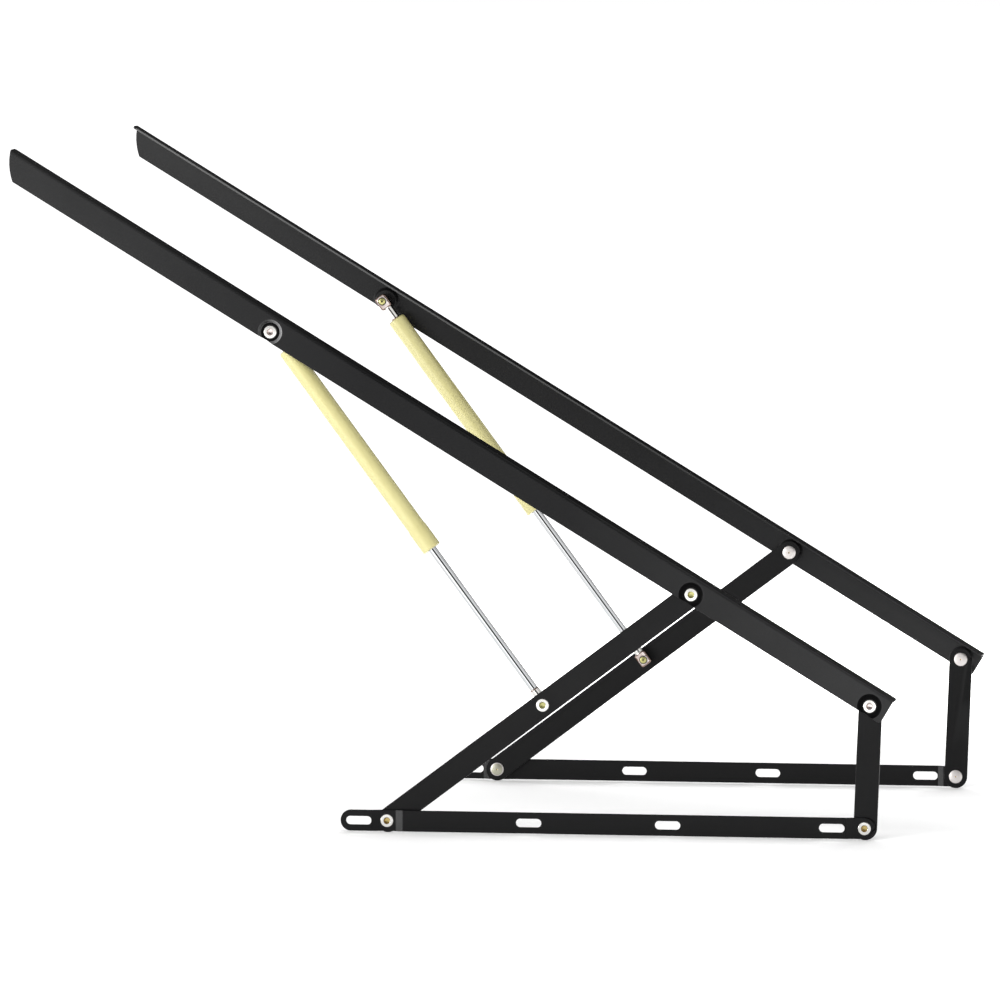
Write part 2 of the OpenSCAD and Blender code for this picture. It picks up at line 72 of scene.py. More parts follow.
Socket = bpy.types.NodeSocket
Material = bpy.types.Material
Colour = tuple[float, float, float]
Profile = list[tuple[float, ...]]


class Side(Enum):
    """The two units of the pair: the right one stands at -Y, the left one mirrors it at +Y."""

    RIGHT = "right"
    LEFT = "left"


class Slot(Enum):
    """The record's material slots."""

    COAT = "black_coat"
    NICKEL = "nickel_plate"
    ZINC = "zinc_plate"
    CREAM = "cream_paint"
    CHROME = "chrome_rod"


class Mix(IntEnum):
    """Inputs of a Mix node, whose names repeat for each type of value."""

    FACTOR = 0
    FLOAT_A = 2
    FLOAT_B = 3
    COLOUR_A = 6
    COLOUR_B = 7


@dataclass
class Shader:
    """A node tree with short calls to add nodes and links.

    Args:
        tree: The node tree that is filled.
    """

    tree: bpy.types.NodeTree

    def add(self, kind: str, values: dict[str | int, object] | None = None, **settings: object) -> bpy.types.Node:
        """Adds a node.

        Args:
            kind: The node's type name.
            values: Socket name or number to a constant value.
            settings: Attributes of the node.

        Returns:
            The new node.
        """
        node = self.tree.nodes.new(kind)
        for key, value in settings.items():
            setattr(node, key, value)
        for key, value in (values or {}).items():
            node.inputs[key].default_value = value
        return node

    def link(self, source: Socket, target: Socket) -> None:
        """Links an output to an input."""
        self.tree.links.new(source, target)

    def object_place(self) -> Socket:
        """Returns the Object coordinates."""
        return self.add("ShaderNodeTexCoord").outputs["Object"]

    def maths(self, operation: str, first: Socket, second: Socket) -> Socket:
        """Joins two values by one step of arithmetic.

        Args:
            operation: The step, by its name in Blender.
            first: First value.
            second: Second value.

        Returns:
            The result.
        """
        step = self.add("ShaderNodeMath", operation=operation)
        self.link(first, step.inputs[0])
        self.link(second, step.inputs[1])
        return step.outputs[0]

    def noise(self, scale: float | Socket, detail: float = 2.0, roughness: float = 0.5,
              place: Socket | None = None) -> Socket:
        """Adds a noise pattern.

        Args:
            scale: Features per metre, as a number or a socket.
            detail: Octaves.
            roughness: Weight of the finer octaves.
            place: The coordinates, or None for Object coordinates.

        Returns:
            The pattern's value from 0 to 1.
        """
        noise = self.add("ShaderNodeTexNoise", {"Detail": detail, "Roughness": roughness})
        if isinstance(scale, float):
            noise.inputs["Scale"].default_value = scale
        else:
            self.link(scale, noise.inputs["Scale"])
        self.link(place or self.object_place(), noise.inputs["Vector"])
        return noise.outputs["Fac"]

    def spread(self, value: Socket, low: float, high: float,
               to_low: float = 0.0, to_high: float = 1.0) -> Socket:
        """Maps a value from one range to another, clamped.

        Args:
            value: The socket to map.
            low: Value that becomes to_low.
            high: Value that becomes to_high.
            to_low: Lower result.
            to_high: Upper result.

        Returns:
            The mapped value.
        """
        node = self.add("ShaderNodeMapRange", {
            "From Min": low, "From Max": high, "To Min": to_low, "To Max": to_high})
        self.link(value, node.inputs["Value"])
        return node.outputs["Result"]


@dataclass
class Group(Shader):
    """A shader node group with number sockets.

    Args:
        tree: The group's node tree.
        given: The sockets that bring its inputs.
        out: The sockets that take its outputs.
    """

    given: bpy.types.NodeOutputs
    out: bpy.types.NodeInputs

    @classmethod
    def named(cls, name: str, inputs: dict[str, float], outputs: tuple[str, ...]) -> "Group":
        """Makes an empty group.

        Args:
            name: The group's name.
            inputs: Input name to its default value.
            outputs: Output names.

        Returns:
            The group, with its input and output nodes in place.
        """
        tree = bpy.data.node_groups.new(name, "ShaderNodeTree")
        for label, value in inputs.items():
            socket = tree.interface.new_socket(name=label, in_out="INPUT", socket_type="NodeSocketFloat")
            socket.default_value = value
        for label in outputs:
            tree.interface.new_socket(name=label, in_out="OUTPUT", socket_type="NodeSocketFloat")
        return cls(tree, tree.nodes.new("NodeGroupInput").outputs, tree.nodes.new("NodeGroupOutput").inputs)


def grain_group(finer: float = 2.3, fine_share: float = 0.45,
                band: tuple[float, float] = (0.35, 0.68)) -> bpy.types.NodeTree:
    """Fine grain of a sprayed or cast surface: a coarse and a fine noise.

    Args:
        finer: How many times finer the fine noise is.
        fine_share: What share of the fine noise is added to the height.
        band: Values of the fine noise between which the speckle grows.

    Returns:
        A group with Scale and Contrast in, and Height and Speckle out.
    """
    group = Group.named("surface_grain", {"Scale": 900.0, "Contrast": 1.0}, ("Height", "Speckle"))
    fine_scale = group.add("ShaderNodeMath", {1: finer}, operation="MULTIPLY")
    group.link(group.given["Scale"], fine_scale.inputs[0])
    coarse = group.noise(group.given["Scale"], 1.0, 0.5)
    fine = group.noise(fine_scale.outputs[0], 2.0, 0.6)
    mix = group.add("ShaderNodeMath", {1: fine_share}, operation="MULTIPLY_ADD")
    group.link(fine, mix.inputs[0])
    group.link(coarse, mix.inputs[2])
    group.link(mix.outputs[0], group.out["Height"])
    speckle = group.maths("MULTIPLY", group.spread(fine, *band), group.given["Contrast"])
    group.link(speckle, group.out["Speckle"])
    return group.tree


def handling_group(band: tuple[float, float] = (0.35, 0.65)) -> bpy.types.NodeTree:
    """Handling marks: broad smudges that change the gloss from place to place.

    Args:
        band: Values of the pattern between which the gloss changes.

    Returns:
        A group with Scale, and Smooth and Dull roughness in, and Roughness out.
    """
    group = Group.named("handling_marks", {"Scale": 14.0, "Smooth": 0.4, "Dull": 0.55}, ("Roughness",))
    broad = group.noise(group.given["Scale"], 3.0, 0.55)
    level = group.add("ShaderNodeMapRange")
    group.link(group.spread(broad, *band), level.inputs["Value"])
    group.link(group.given["Smooth"], level.inputs["To Min"])
    group.link(group.given["Dull"], level.inputs["To Max"])
    group.link(level.outputs["Result"], group.out["Roughness"])
    return group.tree


def plating_group(lines: tuple[float, float, float] = (300.0, 2600.0, 300.0), tint_scale: float = 90.0,
                  band: tuple[float, float] = (0.3, 0.7)) -> bpy.types.NodeTree:
    """Bright plating: fine drawn lines and a slow change of tint.

    Args:
        lines: Lines per metre along each axis.
        tint_scale: Clouds of tint per metre.
        band: Values of the clouds between which the tint changes.

    Returns:
        A group with Scale in, and Height and Tint out.
    """
    group = Group.named("plating_lines", {"Scale": 1.0}, ("Height", "Tint"))
    drawn = group.add("ShaderNodeMapping", {"Scale": lines})
    group.link(group.object_place(), drawn.inputs["Vector"])
    group.link(group.noise(group.given["Scale"], 2.0, 0.6, drawn.outputs["Vector"]), group.out["Height"])
    group.link(group.spread(group.noise(tint_scale), *band), group.out["Tint"])
    return group.tree


@dataclass
class Effects:
    """The shader groups that the finishes share, each built once."""

    grain: bpy.types.NodeTree = field(default_factory=grain_group)
    handling: bpy.types.NodeTree = field(default_factory=handling_group)
    plating: bpy.types.NodeTree = field(default_factory=plating_group)

    @staticmethod
    def place(shader: Shader, group: bpy.types.NodeTree, **values: float) -> bpy.types.Node:
        """Puts a group into a material.

        Args:
            shader: The material's shader.
            group: The shared group.
            values: Input name to this material's own value.

        Returns:
            The group node.
        """
        node = shader.add("ShaderNodeGroup", node_tree=group)
        for label, value in values.items():
            node.inputs[label].default_value = value
        return node


@dataclass
class Skin(Shader):
    """A material with one Principled BSDF, which a finish fills."""

    material: Material
    bsdf: bpy.types.Node

    @classmethod
    def named(cls, name: str, values: dict[str, float]) -> "Skin":
        """Makes the material.

        Args:
            name: The material's name.
            values: Constant values that go straight onto the shader's sockets.

        Returns:
            The material's skin.
        """
        material = bpy.data.materials.new(name)
        material.use_nodes = True
        bsdf = material.node_tree.nodes["Principled BSDF"]
        for key, value in values.items():
            bsdf.inputs[key].default_value = value
        return cls(material.node_tree, material, bsdf)

    def mix(self, mask: Socket, first: Colour, second: Colour | Socket) -> Socket:
        """Mixes two colours by a mask.

        Args:
            mask: The mask.
            first: Colour where the mask is 0.
            second: Colour where the mask is 1.

        Returns:
            The mixed colour.
        """
        mix = self.add("ShaderNodeMix", {Mix.COLOUR_A: (*first, 1.0)}, data_type="RGBA")
        self.link(mask, mix.inputs[Mix.FACTOR])
        if isinstance(second, tuple):
            mix.inputs[Mix.COLOUR_B].default_value = (*second, 1.0)
        else:
            self.link(second, mix.inputs[Mix.COLOUR_B])
        # The outputs share one name, and the third is the colour.
        return mix.outputs[2]

    def feed(self, colour: Socket, marks: bpy.types.Node, relief: bpy.types.Node,
             strength: float, depth: float) -> Material:
        """Feeds the Principled BSDF.

        Args:
            colour: The base colour.
            marks: The handling marks, which give the roughness.
            relief: The node whose Height raises the surface.
            strength: Strength of the bump.
            depth: Its depth, in metres.

        Returns:
            The finished material.
        """
        bump = self.add("ShaderNodeBump", {"Strength": strength, "Distance": depth})
        self.link(colour, self.bsdf.inputs["Base Color"])
        self.link(marks.outputs["Roughness"], self.bsdf.inputs["Roughness"])
        self.link(relief.outputs["Height"], bump.inputs["Height"])
        self.link(bump.outputs["Normal"], self.bsdf.inputs["Normal"])
        return self.material


@dataclass(frozen=True)
class PowderCoat:
    """Satin powder coat with a fine grain, a little speckle and light handling marks.

    With a painted shade colour the coat paints light and shade along X: it takes its own
    colour towards its ends as a painted highlight, and the painted shade colour between them.
    The ends are four places along X, in metres: the coat fades out from the first to the
    second, and in again from the third to the fourth.
    """

    name: str
    colour: Colour
    speckle: Colour
    smooth: float = 0.30
    dull: float = 0.42
    shine: float = 0.22
    grain_scale: float = 1300.0
    grain_height: float = 0.00006
    # Colour of the painted shade between the lit ends, or None for an even coat.
    painted_shade: Colour | None = None
    ends: tuple[float, float, float, float] = (-0.5, -0.1, 0.15, 0.5)
    grain_strength: float = 0.55

    def build(self, effects: Effects) -> Material:
        """Builds the material.

        Args:
            effects: The shared groups.

        Returns:
            The finished material.
        """
        skin = Skin.named(self.name, {"Specular IOR Level": self.shine})
        grain = effects.place(skin, effects.grain, Scale=self.grain_scale)
        marks = effects.place(skin, effects.handling, Smooth=self.smooth, Dull=self.dull)
        colour = skin.mix(grain.outputs["Speckle"], self.colour, self.speckle)
        # Painted light along X: own colour towards the ends as a painted highlight, painted shade colour between.
        if self.painted_shade:
            place = skin.add("ShaderNodeSeparateXYZ")
            skin.link(skin.object_place(), place.inputs[0])
            start = skin.spread(place.outputs[0], *self.ends[:2], 1.0, 0.0)
            end = skin.spread(place.outputs[0], *self.ends[2:])
            colour = skin.mix(skin.maths("MAXIMUM", start, end), self.painted_shade, colour)
        return skin.feed(colour, marks, grain, self.grain_strength, self.grain_height)


@dataclass(frozen=True)
class Plated:
    """Plated or bare metal with fine drawn lines and a slow change of tint."""

    name: str
    colour: Colour
    tint: Colour
    smooth: float
    dull: float
    line_height: float = 0.000004
    line_strength: float = 0.5
    marks_scale: float = 60.0

    def build(self, effects: Effects) -> Material:
        """Builds the material.

        Args:
            effects: The shared groups.

        Returns:
            The finished material.
        """
        skin = Skin.named(self.name, {"Metallic": 1.0})
        plating = effects.place(skin, effects.plating)
        marks = effects.place(skin, effects.handling, Scale=self.marks_scale, Smooth=self.smooth, Dull=self.dull)
        colour = skin.mix(plating.outputs["Tint"], self.colour, self.tint)
        return skin.feed(colour, marks, plating, self.line_strength, self.line_height)


@dataclass(frozen=True)
class Enamel:
    """Glossy stoved enamel with a faint orange peel, under a thin clear coat."""

    name: str
    colour: Colour
    shade: Colour
    smooth: float = 0.36
    dull: float = 0.46
    peel_height: float = 0.00002
    peel_strength: float = 0.12
    peel_scale: float = 420.0
    marks_scale: float = 20.0
    cloud_scale: float = 26.0
    shine: float = 0.8
    clear: float = 0.7
    clear_dull: float = 0.35

    def build(self, effects: Effects) -> Material:
        """Builds the material.

        Args:
            effects: The shared groups.

        Returns:
            The finished material.
        """
        skin = Skin.named(self.name, {"Specular IOR Level": self.shine, "Coat Weight": self.clear,
                                      "Coat Roughness": self.clear_dull})
        grain = effects.place(skin, effects.grain, Scale=self.peel_scale)
        marks = effects.place(skin, effects.handling, Scale=self.marks_scale, Smooth=self.smooth, Dull=self.dull)
        colour = skin.mix(skin.spread(skin.noise(self.cloud_scale), 0.3, 0.7), self.colour, self.shade)
        return skin.feed(colour, marks, grain, self.peel_strength, self.peel_height)


@dataclass(frozen=True)
class Moulded:
    """Moulded nylon or rubber: dull, with a fine mould texture."""

    name: str
    colour: Colour
    bloom: Colour
    smooth: float = 0.45
    dull: float = 0.62
    texture_height: float = 0.00002
    texture_strength: float = 0.4
    texture_scale: float = 2400.0
    contrast: float = 0.6
    marks_scale: float = 80.0
    shine: float = 0.4

    def build(self, effects: Effects) -> Material:
        """Builds the material.

        Args:
            effects: The shared groups.

        Returns:
            The finished material.
        """
        skin = Skin.named(self.name, {"Specular IOR Level": self.shine})
        grain = effects.place(skin, effects.grain, Scale=self.texture_scale, Contrast=self.contrast)
        marks = effects.place(skin, effects.handling, Scale=self.marks_scale, Smooth=self.smooth, Dull=self.dull)
        colour = skin.mix(grain.outputs["Speckle"], self.colour, self.bloom)
        return skin.feed(colour, marks, grain, self.texture_strength, self.texture_height)


class Finish(Enum):
    """Every finish of the pair."""

    COAT = PowderCoat("black_powder_coat", (0.0024, 0.0024, 0.0027), (0.005, 0.005, 0.0054))
    # Rail coat: lighter than the links' coat, with a painted highlight towards both ends of the rail and painted shade
    # in its middle.
    RAIL_COAT = PowderCoat("rail_powder_coat", (0.020, 0.020, 0.0205), (0.032, 0.032, 0.0325),
                           shine=0.24, grain_scale=900.0, grain_height=0.0001, painted_shade=(0.004, 0.004, 0.0045))
    # Rail's cut edge: a painted highlight, bright at the front end and fading into painted shade towards the back.
    EDGE = PowderCoat("cut_edge_painted_highlight_coat", (0.11, 0.11, 0.11), (0.17, 0.17, 0.17), 0.24, 0.36, 0.4,
                      painted_shade=(0.004, 0.004, 0.0045), ends=(-0.45, 0.25, 9.0, 10.0))
    # Joggles of the base bar that face -X, towards the lamps on the left: a lighter, glossier coat that paints their
    # highlight.
    BEND = PowderCoat("joggle_painted_highlight_coat", (0.005, 0.005, 0.0055), (0.010, 0.010, 0.0105), 0.2, 0.3, 0.45)
    # First seat's outer wall: a painted highlight on its right side, above x -0.2025 m, and painted shade on its left.
    WALL = PowderCoat("seat_wall_painted_highlight_coat", (0.24, 0.24, 0.245), (0.34, 0.34, 0.345), 0.3, 0.4, 0.7,
                      painted_shade=(0.006, 0.006, 0.0065), ends=(-9.0, -8.9, -0.219, -0.2025))
    # Walls of the other seats and floors of all seats: near black, a painted shade.
    SEAT = PowderCoat("seat_painted_shade_coat", (0.0015, 0.0015, 0.0017), (0.003, 0.003, 0.0032), 0.5, 0.62, 0.06)
    NICKEL = Plated("bright_nickel", (0.84, 0.83, 0.80), (0.76, 0.75, 0.72), 0.14, 0.24)
    GILT = Plated("yellow_chromate", (0.62, 0.47, 0.18), (0.48, 0.38, 0.16), 0.2, 0.32)
    IVORY = Plated("pale_passivate", (0.62, 0.60, 0.50), (0.50, 0.50, 0.38), 0.32, 0.44)
    PEARL = Plated("pearl_nickel", (0.90, 0.86, 0.84), (0.84, 0.79, 0.77), 0.42, 0.52)
    ZINC = Plated("warm_zinc", (0.88, 0.83, 0.82), (0.52, 0.42, 0.38), 0.14, 0.22)
    PASSIVATE = Plated("green_passivate", (0.66, 0.62, 0.24), (0.52, 0.50, 0.22), 0.24, 0.36)
    # Edges and side walls of the end fittings: a darker brown, a painted shade; the necks' collar lines take it too.
    UMBER = Plated("brown_painted_shade_zinc", (0.38, 0.28, 0.24), (0.16, 0.10, 0.08), 0.12, 0.2)
    BRASS = Plated("bush_brass", (0.72, 0.55, 0.24), (0.60, 0.44, 0.18), 0.24, 0.36)
    CREAM = Enamel("cream_enamel", (0.79, 0.73, 0.33), (0.77, 0.705, 0.305))
    CHROME = Plated("hard_chrome", (0.70, 0.71, 0.72), (0.66, 0.67, 0.68), 0.05, 0.09, 0.000001)
    NYLON = Moulded("black_nylon", (0.018, 0.018, 0.019), (0.03, 0.03, 0.03))
    RUBBER = Moulded("black_rubber", (0.014, 0.014, 0.014), (0.024, 0.024, 0.024), 0.55, 0.7)


@dataclass
class Palette:
    """The material of every finish, each built once."""

    effects: Effects = field(default_factory=Effects)
    materials: dict[Finish, Material] = field(init=False)

    def __post_init__(self) -> None:
        """Builds the materials."""
        self.materials = {finish: finish.value.build(self.effects) for finish in Finish}

    def of(self, *finishes: Finish) -> list[Material]:
        """Returns the materials of finishes, in the order asked for."""
        return [self.materials[finish] for finish in finishes]


@dataclass
class Surface:
    """A mesh worked out as whole arrays.

    Args:
        points: Vertex places, N by 3, in millimetres on local axes.
        normals: Vertex normals, N by 3.
        faces: Vertex numbers, M by 4; a triangle repeats its last number.
        finish: Finish number of each face.
    """

    points: np.ndarray
    normals: np.ndarray
    faces: np.ndarray
    finish: np.ndarray

    def joined(self, other: "Surface") -> "Surface":
        """Returns both surfaces as one."""
        return Surface(
            np.vstack([self.points, other.points]), np.vstack([self.normals, other.normals]),
            np.vstack([self.faces, other.faces + len(self.points)]),
            np.concatenate([self.finish, other.finish]))


def eased_profile(profile: np.ndarray, closed: bool, steps: int) -> tuple[np.ndarray, np.ndarray, np.ndarray]:
    """Rounds the corners of a profile and gives its outward normals.

    At a corner with directions d1 and d2 and radius r, the arc starts r tan(half the turn)
    before the corner. Its centre lies r away from there, against the normal of d1 for an
    outer corner and along it for an inner one. The arc's points are the centre plus or minus
    r times a normal that turns evenly from that of d1 to that of d2.

    Args:
        profile: Rows of [radius from the axis, distance along it, corner radius, finish number].
            The finish is that of the run that starts there.
        closed: True if the last point joins the first.
        steps: Segments in each corner.

    Returns:
        The points, their normals, and the finish of the run after each point.
    """
    place, round_r, finish = profile[:, :2], profile[:, 2], profile[:, 3]
    before = np.roll(place, 1, axis=0)
    after = np.roll(place, -1, axis=0)
    into, out = place - before, after - place
    if not closed:
        into[0], out[-1] = out[0], into[-1]
    into /= np.linalg.norm(into, axis=1, keepdims=True)
    out /= np.linalg.norm(out, axis=1, keepdims=True)
    cross = into[:, 0] * out[:, 1] - into[:, 1] * out[:, 0]
    turn = np.arctan2(cross, (into * out).sum(axis=1))
    start = np.arctan2(-into[:, 0], into[:, 1])
    share = np.linspace(0.0, 1.0, steps + 1)
    angle = start[:, None] + turn[:, None] * share[None, :]
    normal = np.stack([np.cos(angle), np.sin(angle)], axis=-1)
    side = np.sign(cross)[:, None]
    reach = round_r * np.tan(np.abs(turn) / 2)
    tangent = place - reach[:, None] * into
    centre = tangent - side * round_r[:, None] * normal[:, 0]
    arc = centre[:, None, :] + side[:, :, None] * round_r[:, None, None] * normal
    kind = np.repeat(finish, steps + 1).reshape(-1, steps + 1)
    # The ends of an open profile have no turn, so the points of each fall on one place.
    kept = slice(None) if closed else slice(steps, arc.shape[0] * arc.shape[1] - steps)
    return arc.reshape(-1, 2)[kept], normal.reshape(-1, 2)[kept], kind.reshape(-1)[kept]


def grid_faces(rows: int, around: int, closed: bool) -> np.ndarray:
    """Joins the points of a grid, whose rows each close round.

    Args:
        rows: Number of rows.
        around: Points in a row.
        closed: True if the last row joins the first.

    Returns:
        The faces, row by row.
    """
    here, first = np.arange(around), np.arange(rows if closed else rows - 1)[:, None]
    there, low, high = (here + 1) % around, first * around, (first + 1) % rows * around
    return np.stack([low + here, low + there, high + there, high + here], axis=-1).reshape(-1, 4)


def turned(profile: Profile, around: int = 48, closed: bool = False, steps: int = 3) -> Surface:
    """Turns a profile about an axis.

    The point at angle a and profile place (r, s) is r cos(a) on the first axis, r sin(a) on
    the second and s on the third, the axis of turning. A profile point on the axis is one
    vertex, and the last angle joins the first.

    Args:
        profile: Rows of (radius, distance, corner radius, finish number), outer end first.
        around: Steps round the axis.
        closed: True for a ring, whose profile joins its own start.
        steps: Segments in each rounded corner.

    Returns:
        The turned surface.
    """
    place, normal, finish = eased_profile(np.array(profile, float), closed, steps)
    first, last = (place[end, 0] < ON_AXIS and not closed for end in (0, -1))
    rows = slice(int(first), len(place) - int(last))
    angle = np.arange(around) * (2 * math.pi / around)
    ring = np.stack([np.cos(angle), np.sin(angle)], axis=-1)
    count = rows.stop - rows.start
    points, normals = np.empty((count, around, 3)), np.empty((count, around, 3))
    for target, source in ((points, place[rows]), (normals, normal[rows])):
        target[..., :2] = source[:, None, :1] * ring[None]
        target[..., 2] = source[:, None, 1]
    points, normals = points.reshape(-1, 3), normals.reshape(-1, 3)
    faces = grid_faces(count, around, closed)
    kinds = np.repeat(finish[rows][:len(faces) // around], around)
    here, base = np.arange(around), (count - 1) * around
    there = (here + 1) % around
    for closes, end, kind in ((first, 0, finish[0]), (last, -1, finish[-2])):
        if not closes:
            continue
        pole = np.full(around, len(points))
        fan = [pole, there, here, here] if end == 0 else [base + here, base + there, pole, pole]
        faces = np.vstack([faces, np.stack(fan, axis=-1)])
        kinds = np.concatenate([kinds, np.full(around, kind)])
        points = np.vstack([points, [0, 0, place[end, 1]]])
        normals = np.vstack([normals, [0, 0, normal[end, 1]]])
    return Surface(points, normals, faces, kinds.astype(int))


def bored_block(front: float, back: float, height: float, thick: float, corner: float,
                edge: float, bore: float, mouth_break: float = 0.3, around: int = 64,
                steps: int = 4) -> Surface:
    """A rounded block with a round bore, as a grid that closes both ways.

    One parameter runs round the block's outline, a rectangle with round corners. The other
    runs round the cross-section: out over the low face, up the outer wall, in over the high
    face and down the bore. The outer edges are quarter circles between outlines that are
    moved in by edge (1 - sin), at heights moved by edge (1 - cos). The upper half repeats
    the lower one in reverse, with its heights turned over.

    Args:
        front: Reach of the block before the bore's centre.
        back: Reach behind it.
        height: Size across.
        thick: Size along the bore.
        corner: Radius of the outline's corners.
        edge: Radius of the edges.
        bore: Radius of the bore.
        mouth_break: Size of the break at the bore's mouths.
        around: Steps round the outline, a multiple of four.
        steps: Segments in each edge.

    Returns:
        The block, bored along the third axis, with its edges and walls in the second slot, which the fittings give a
        painted shade.
    """
    quarter = around // 4
    turn = np.linspace(0.0, math.pi / 2, quarter)
    start = np.repeat(np.arange(4) * (math.pi / 2), quarter)
    angle = np.tile(turn, 4) + start
    normal = np.stack([np.cos(angle), np.sin(angle)], axis=-1)
    signs = np.repeat(np.array([[1, 1], [-1, 1], [-1, -1], [1, -1]], float), quarter, axis=0)
    reach = np.where(signs[:, 0] > 0, back, front) - corner
    centre = np.stack([signs[:, 0] * reach, signs[:, 1] * (height / 2 - corner)], axis=-1)
    outline = centre + corner * normal
    inward = outline / np.linalg.norm(outline, axis=1, keepdims=True)
    sweep = np.linspace(0.0, math.pi / 2, steps + 1)
    mouth = inward[None] * np.array([bore, bore + mouth_break])[:, None, None]
    edge_plan = outline[None] - (edge * (1 - np.sin(sweep)))[:, None, None] * normal[None]
    edge_normal = normal[None] * np.sin(sweep)[:, None, None]
    plan = np.concatenate([mouth, edge_plan])
    plan_normal = np.concatenate([-inward[None], np.zeros_like(mouth[:1]), edge_normal])
    level = np.concatenate([[mouth_break, 0.0], edge * (1 - np.cos(sweep))]) - thick / 2
    lean = np.concatenate([[0.0, -1.0], -np.cos(sweep)])
    points, normals = (
        np.concatenate([np.concatenate([low, low[::-1]]),
                        np.broadcast_to(np.concatenate([up, -up[::-1]])[:, None, None],
                                        (2 * len(low), around, 1))], axis=-1)
        for low, up in ((plan, level), (plan_normal, lean)))
    band = np.arange(len(points))
    # The rounded edges and side walls go into the second slot, for a painted shade.
    slots = np.repeat(((band >= 2) & (band <= 2 + 2 * steps)).astype(int), around)
    return Surface(points.reshape(-1, 3), normals.reshape(-1, 3), grid_faces(len(points), around, True), slots)


@dataclass(frozen=True)
class Axes:
    """A place and three axes at right angles, right-handed, in the shared frame.

    Args:
        origin: Place of the local origin, in metres.
        first: First axis.
        third: Third axis, the axis of turning or of boring.
    """

    origin: np.ndarray
    first: np.ndarray
    third: np.ndarray

    def apply(self, surface: Surface) -> tuple[np.ndarray, np.ndarray]:
        """Puts a surface into the shared frame.

        Args:
            surface: The surface, in millimetres on the local axes.

        Returns:
            Vertex places in metres, and normals.
        """
        turn = np.stack([self.first, np.cross(self.third, self.first), self.third])
        return self.origin + surface.points @ turn * MM, surface.normals @ turn


def read_triples(items: bpy.types.bpy_prop_collection, label: str) -> np.ndarray:
    """Reads a value of three numbers from every item of a mesh.

    Args:
        items: The mesh's vertices or polygons.
        label: The value's name.

    Returns:
        The values, N by 3.
    """
    values = np.empty(len(items) * 3)
    items.foreach_get(label, values)
    return values.reshape(-1, 3)


def link_object(name: str, data: bpy.types.ID) -> bpy.types.Object:
    """Makes an object and links it to the scene.

    Args:
        name: The object's name.
        data: Its mesh, lamp or camera.

    Returns:
        The object, at the origin.
    """
    obj = bpy.data.objects.new(name, data)
    bpy.context.scene.collection.objects.link(obj)
    return obj


def make_piece(name: str, surfaces: list[tuple[Surface, Axes]],
               materials: list[Material]) -> bpy.types.Object:
    """Makes one object from surfaces and their axes.

    Args:
        name: The piece's name.
        surfaces: Each surface with the axes that place it.
        materials: One for each finish number.

    Returns:
        The object, at the origin, with its place in its mesh and exact normals.
    """
    whole: Surface | None = None
    for surface, axes in surfaces:
        points, normals = axes.apply(surface)
        placed = Surface(points, normals, surface.faces, surface.finish)
        whole = placed if whole is None else whole.joined(placed)
    faces = [row[:3] if row[2] == row[3] else row for row in whole.faces.tolist()]
    mesh = bpy.data.meshes.new(name)
    mesh.from_pydata(whole.points.tolist(), [], faces)
    for material in materials:
        mesh.materials.append(material)
    mesh.polygons.foreach_set("material_index", whole.finish.astype(np.int32))
    mesh.polygons.foreach_set("use_smooth", np.ones(len(faces), bool))
    length = np.linalg.norm(whole.normals, axis=1, keepdims=True)
    mesh.normals_split_custom_set_from_vertices((whole.normals / np.maximum(length, 1e-9)).tolist())
    mesh.update()
    return link_object(name, mesh)


def settle(obj: bpy.types.Object, body: str, slot: Slot, *nodes: str) -> None:
    """Hands a piece to its body and lets it stand for its CAD nodes.

    Args:
        obj: The piece.
        body: The body that it rides on.
        slot: The record's material slot; not used.
        nodes: The CAD nodes that it replaces.
    """
    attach(obj, body)
    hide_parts(*nodes)
    log.info("%s: %d vertices, on %s, for %s", obj.name, len(obj.data.vertices), body, ", ".join(nodes))


@dataclass(frozen=True)
class EdgeRounding:
    """How a bar's copy is merged and its edges are rounded, in millimetres and degrees.

    Args:
        sheared: Radius of cut edges.
        pressed: Radius where a seat is pressed in.
        least_turn: Smallest turn between two faces that counts as an edge.
        joggle_turn: The same on a bar without seats, whose joggles turn less.
        flat_turn: Largest turn between two triangles of one flat face.
        merge: Distance within which corners become one.
        on_radius: How near to a seat's radius both ends of its edges lie.
        segments: Faces across a rounded edge.
    """

    sheared: float = 0.6
    pressed: float = 1.3
    least_turn: float = 25.0
    joggle_turn: float = 12.0
    flat_turn: float = 0.4
    merge: float = 0.002
    on_radius: float = 0.25
    segments: int = 2


@dataclass(frozen=True)
class Seat:
    """A pressed seat: its centre (x, z) in metres, and its outer and floor radii in millimetres."""

    centre: tuple[float, float]
    outer_r: float
    floor_r: float

    def away(self, spots: np.ndarray) -> np.ndarray:
        """Returns the distance of each spot from the seat's axis, in millimetres."""
        return np.hypot(spots[:, 0] - self.centre[0], spots[:, 2] - self.centre[1]) / MM


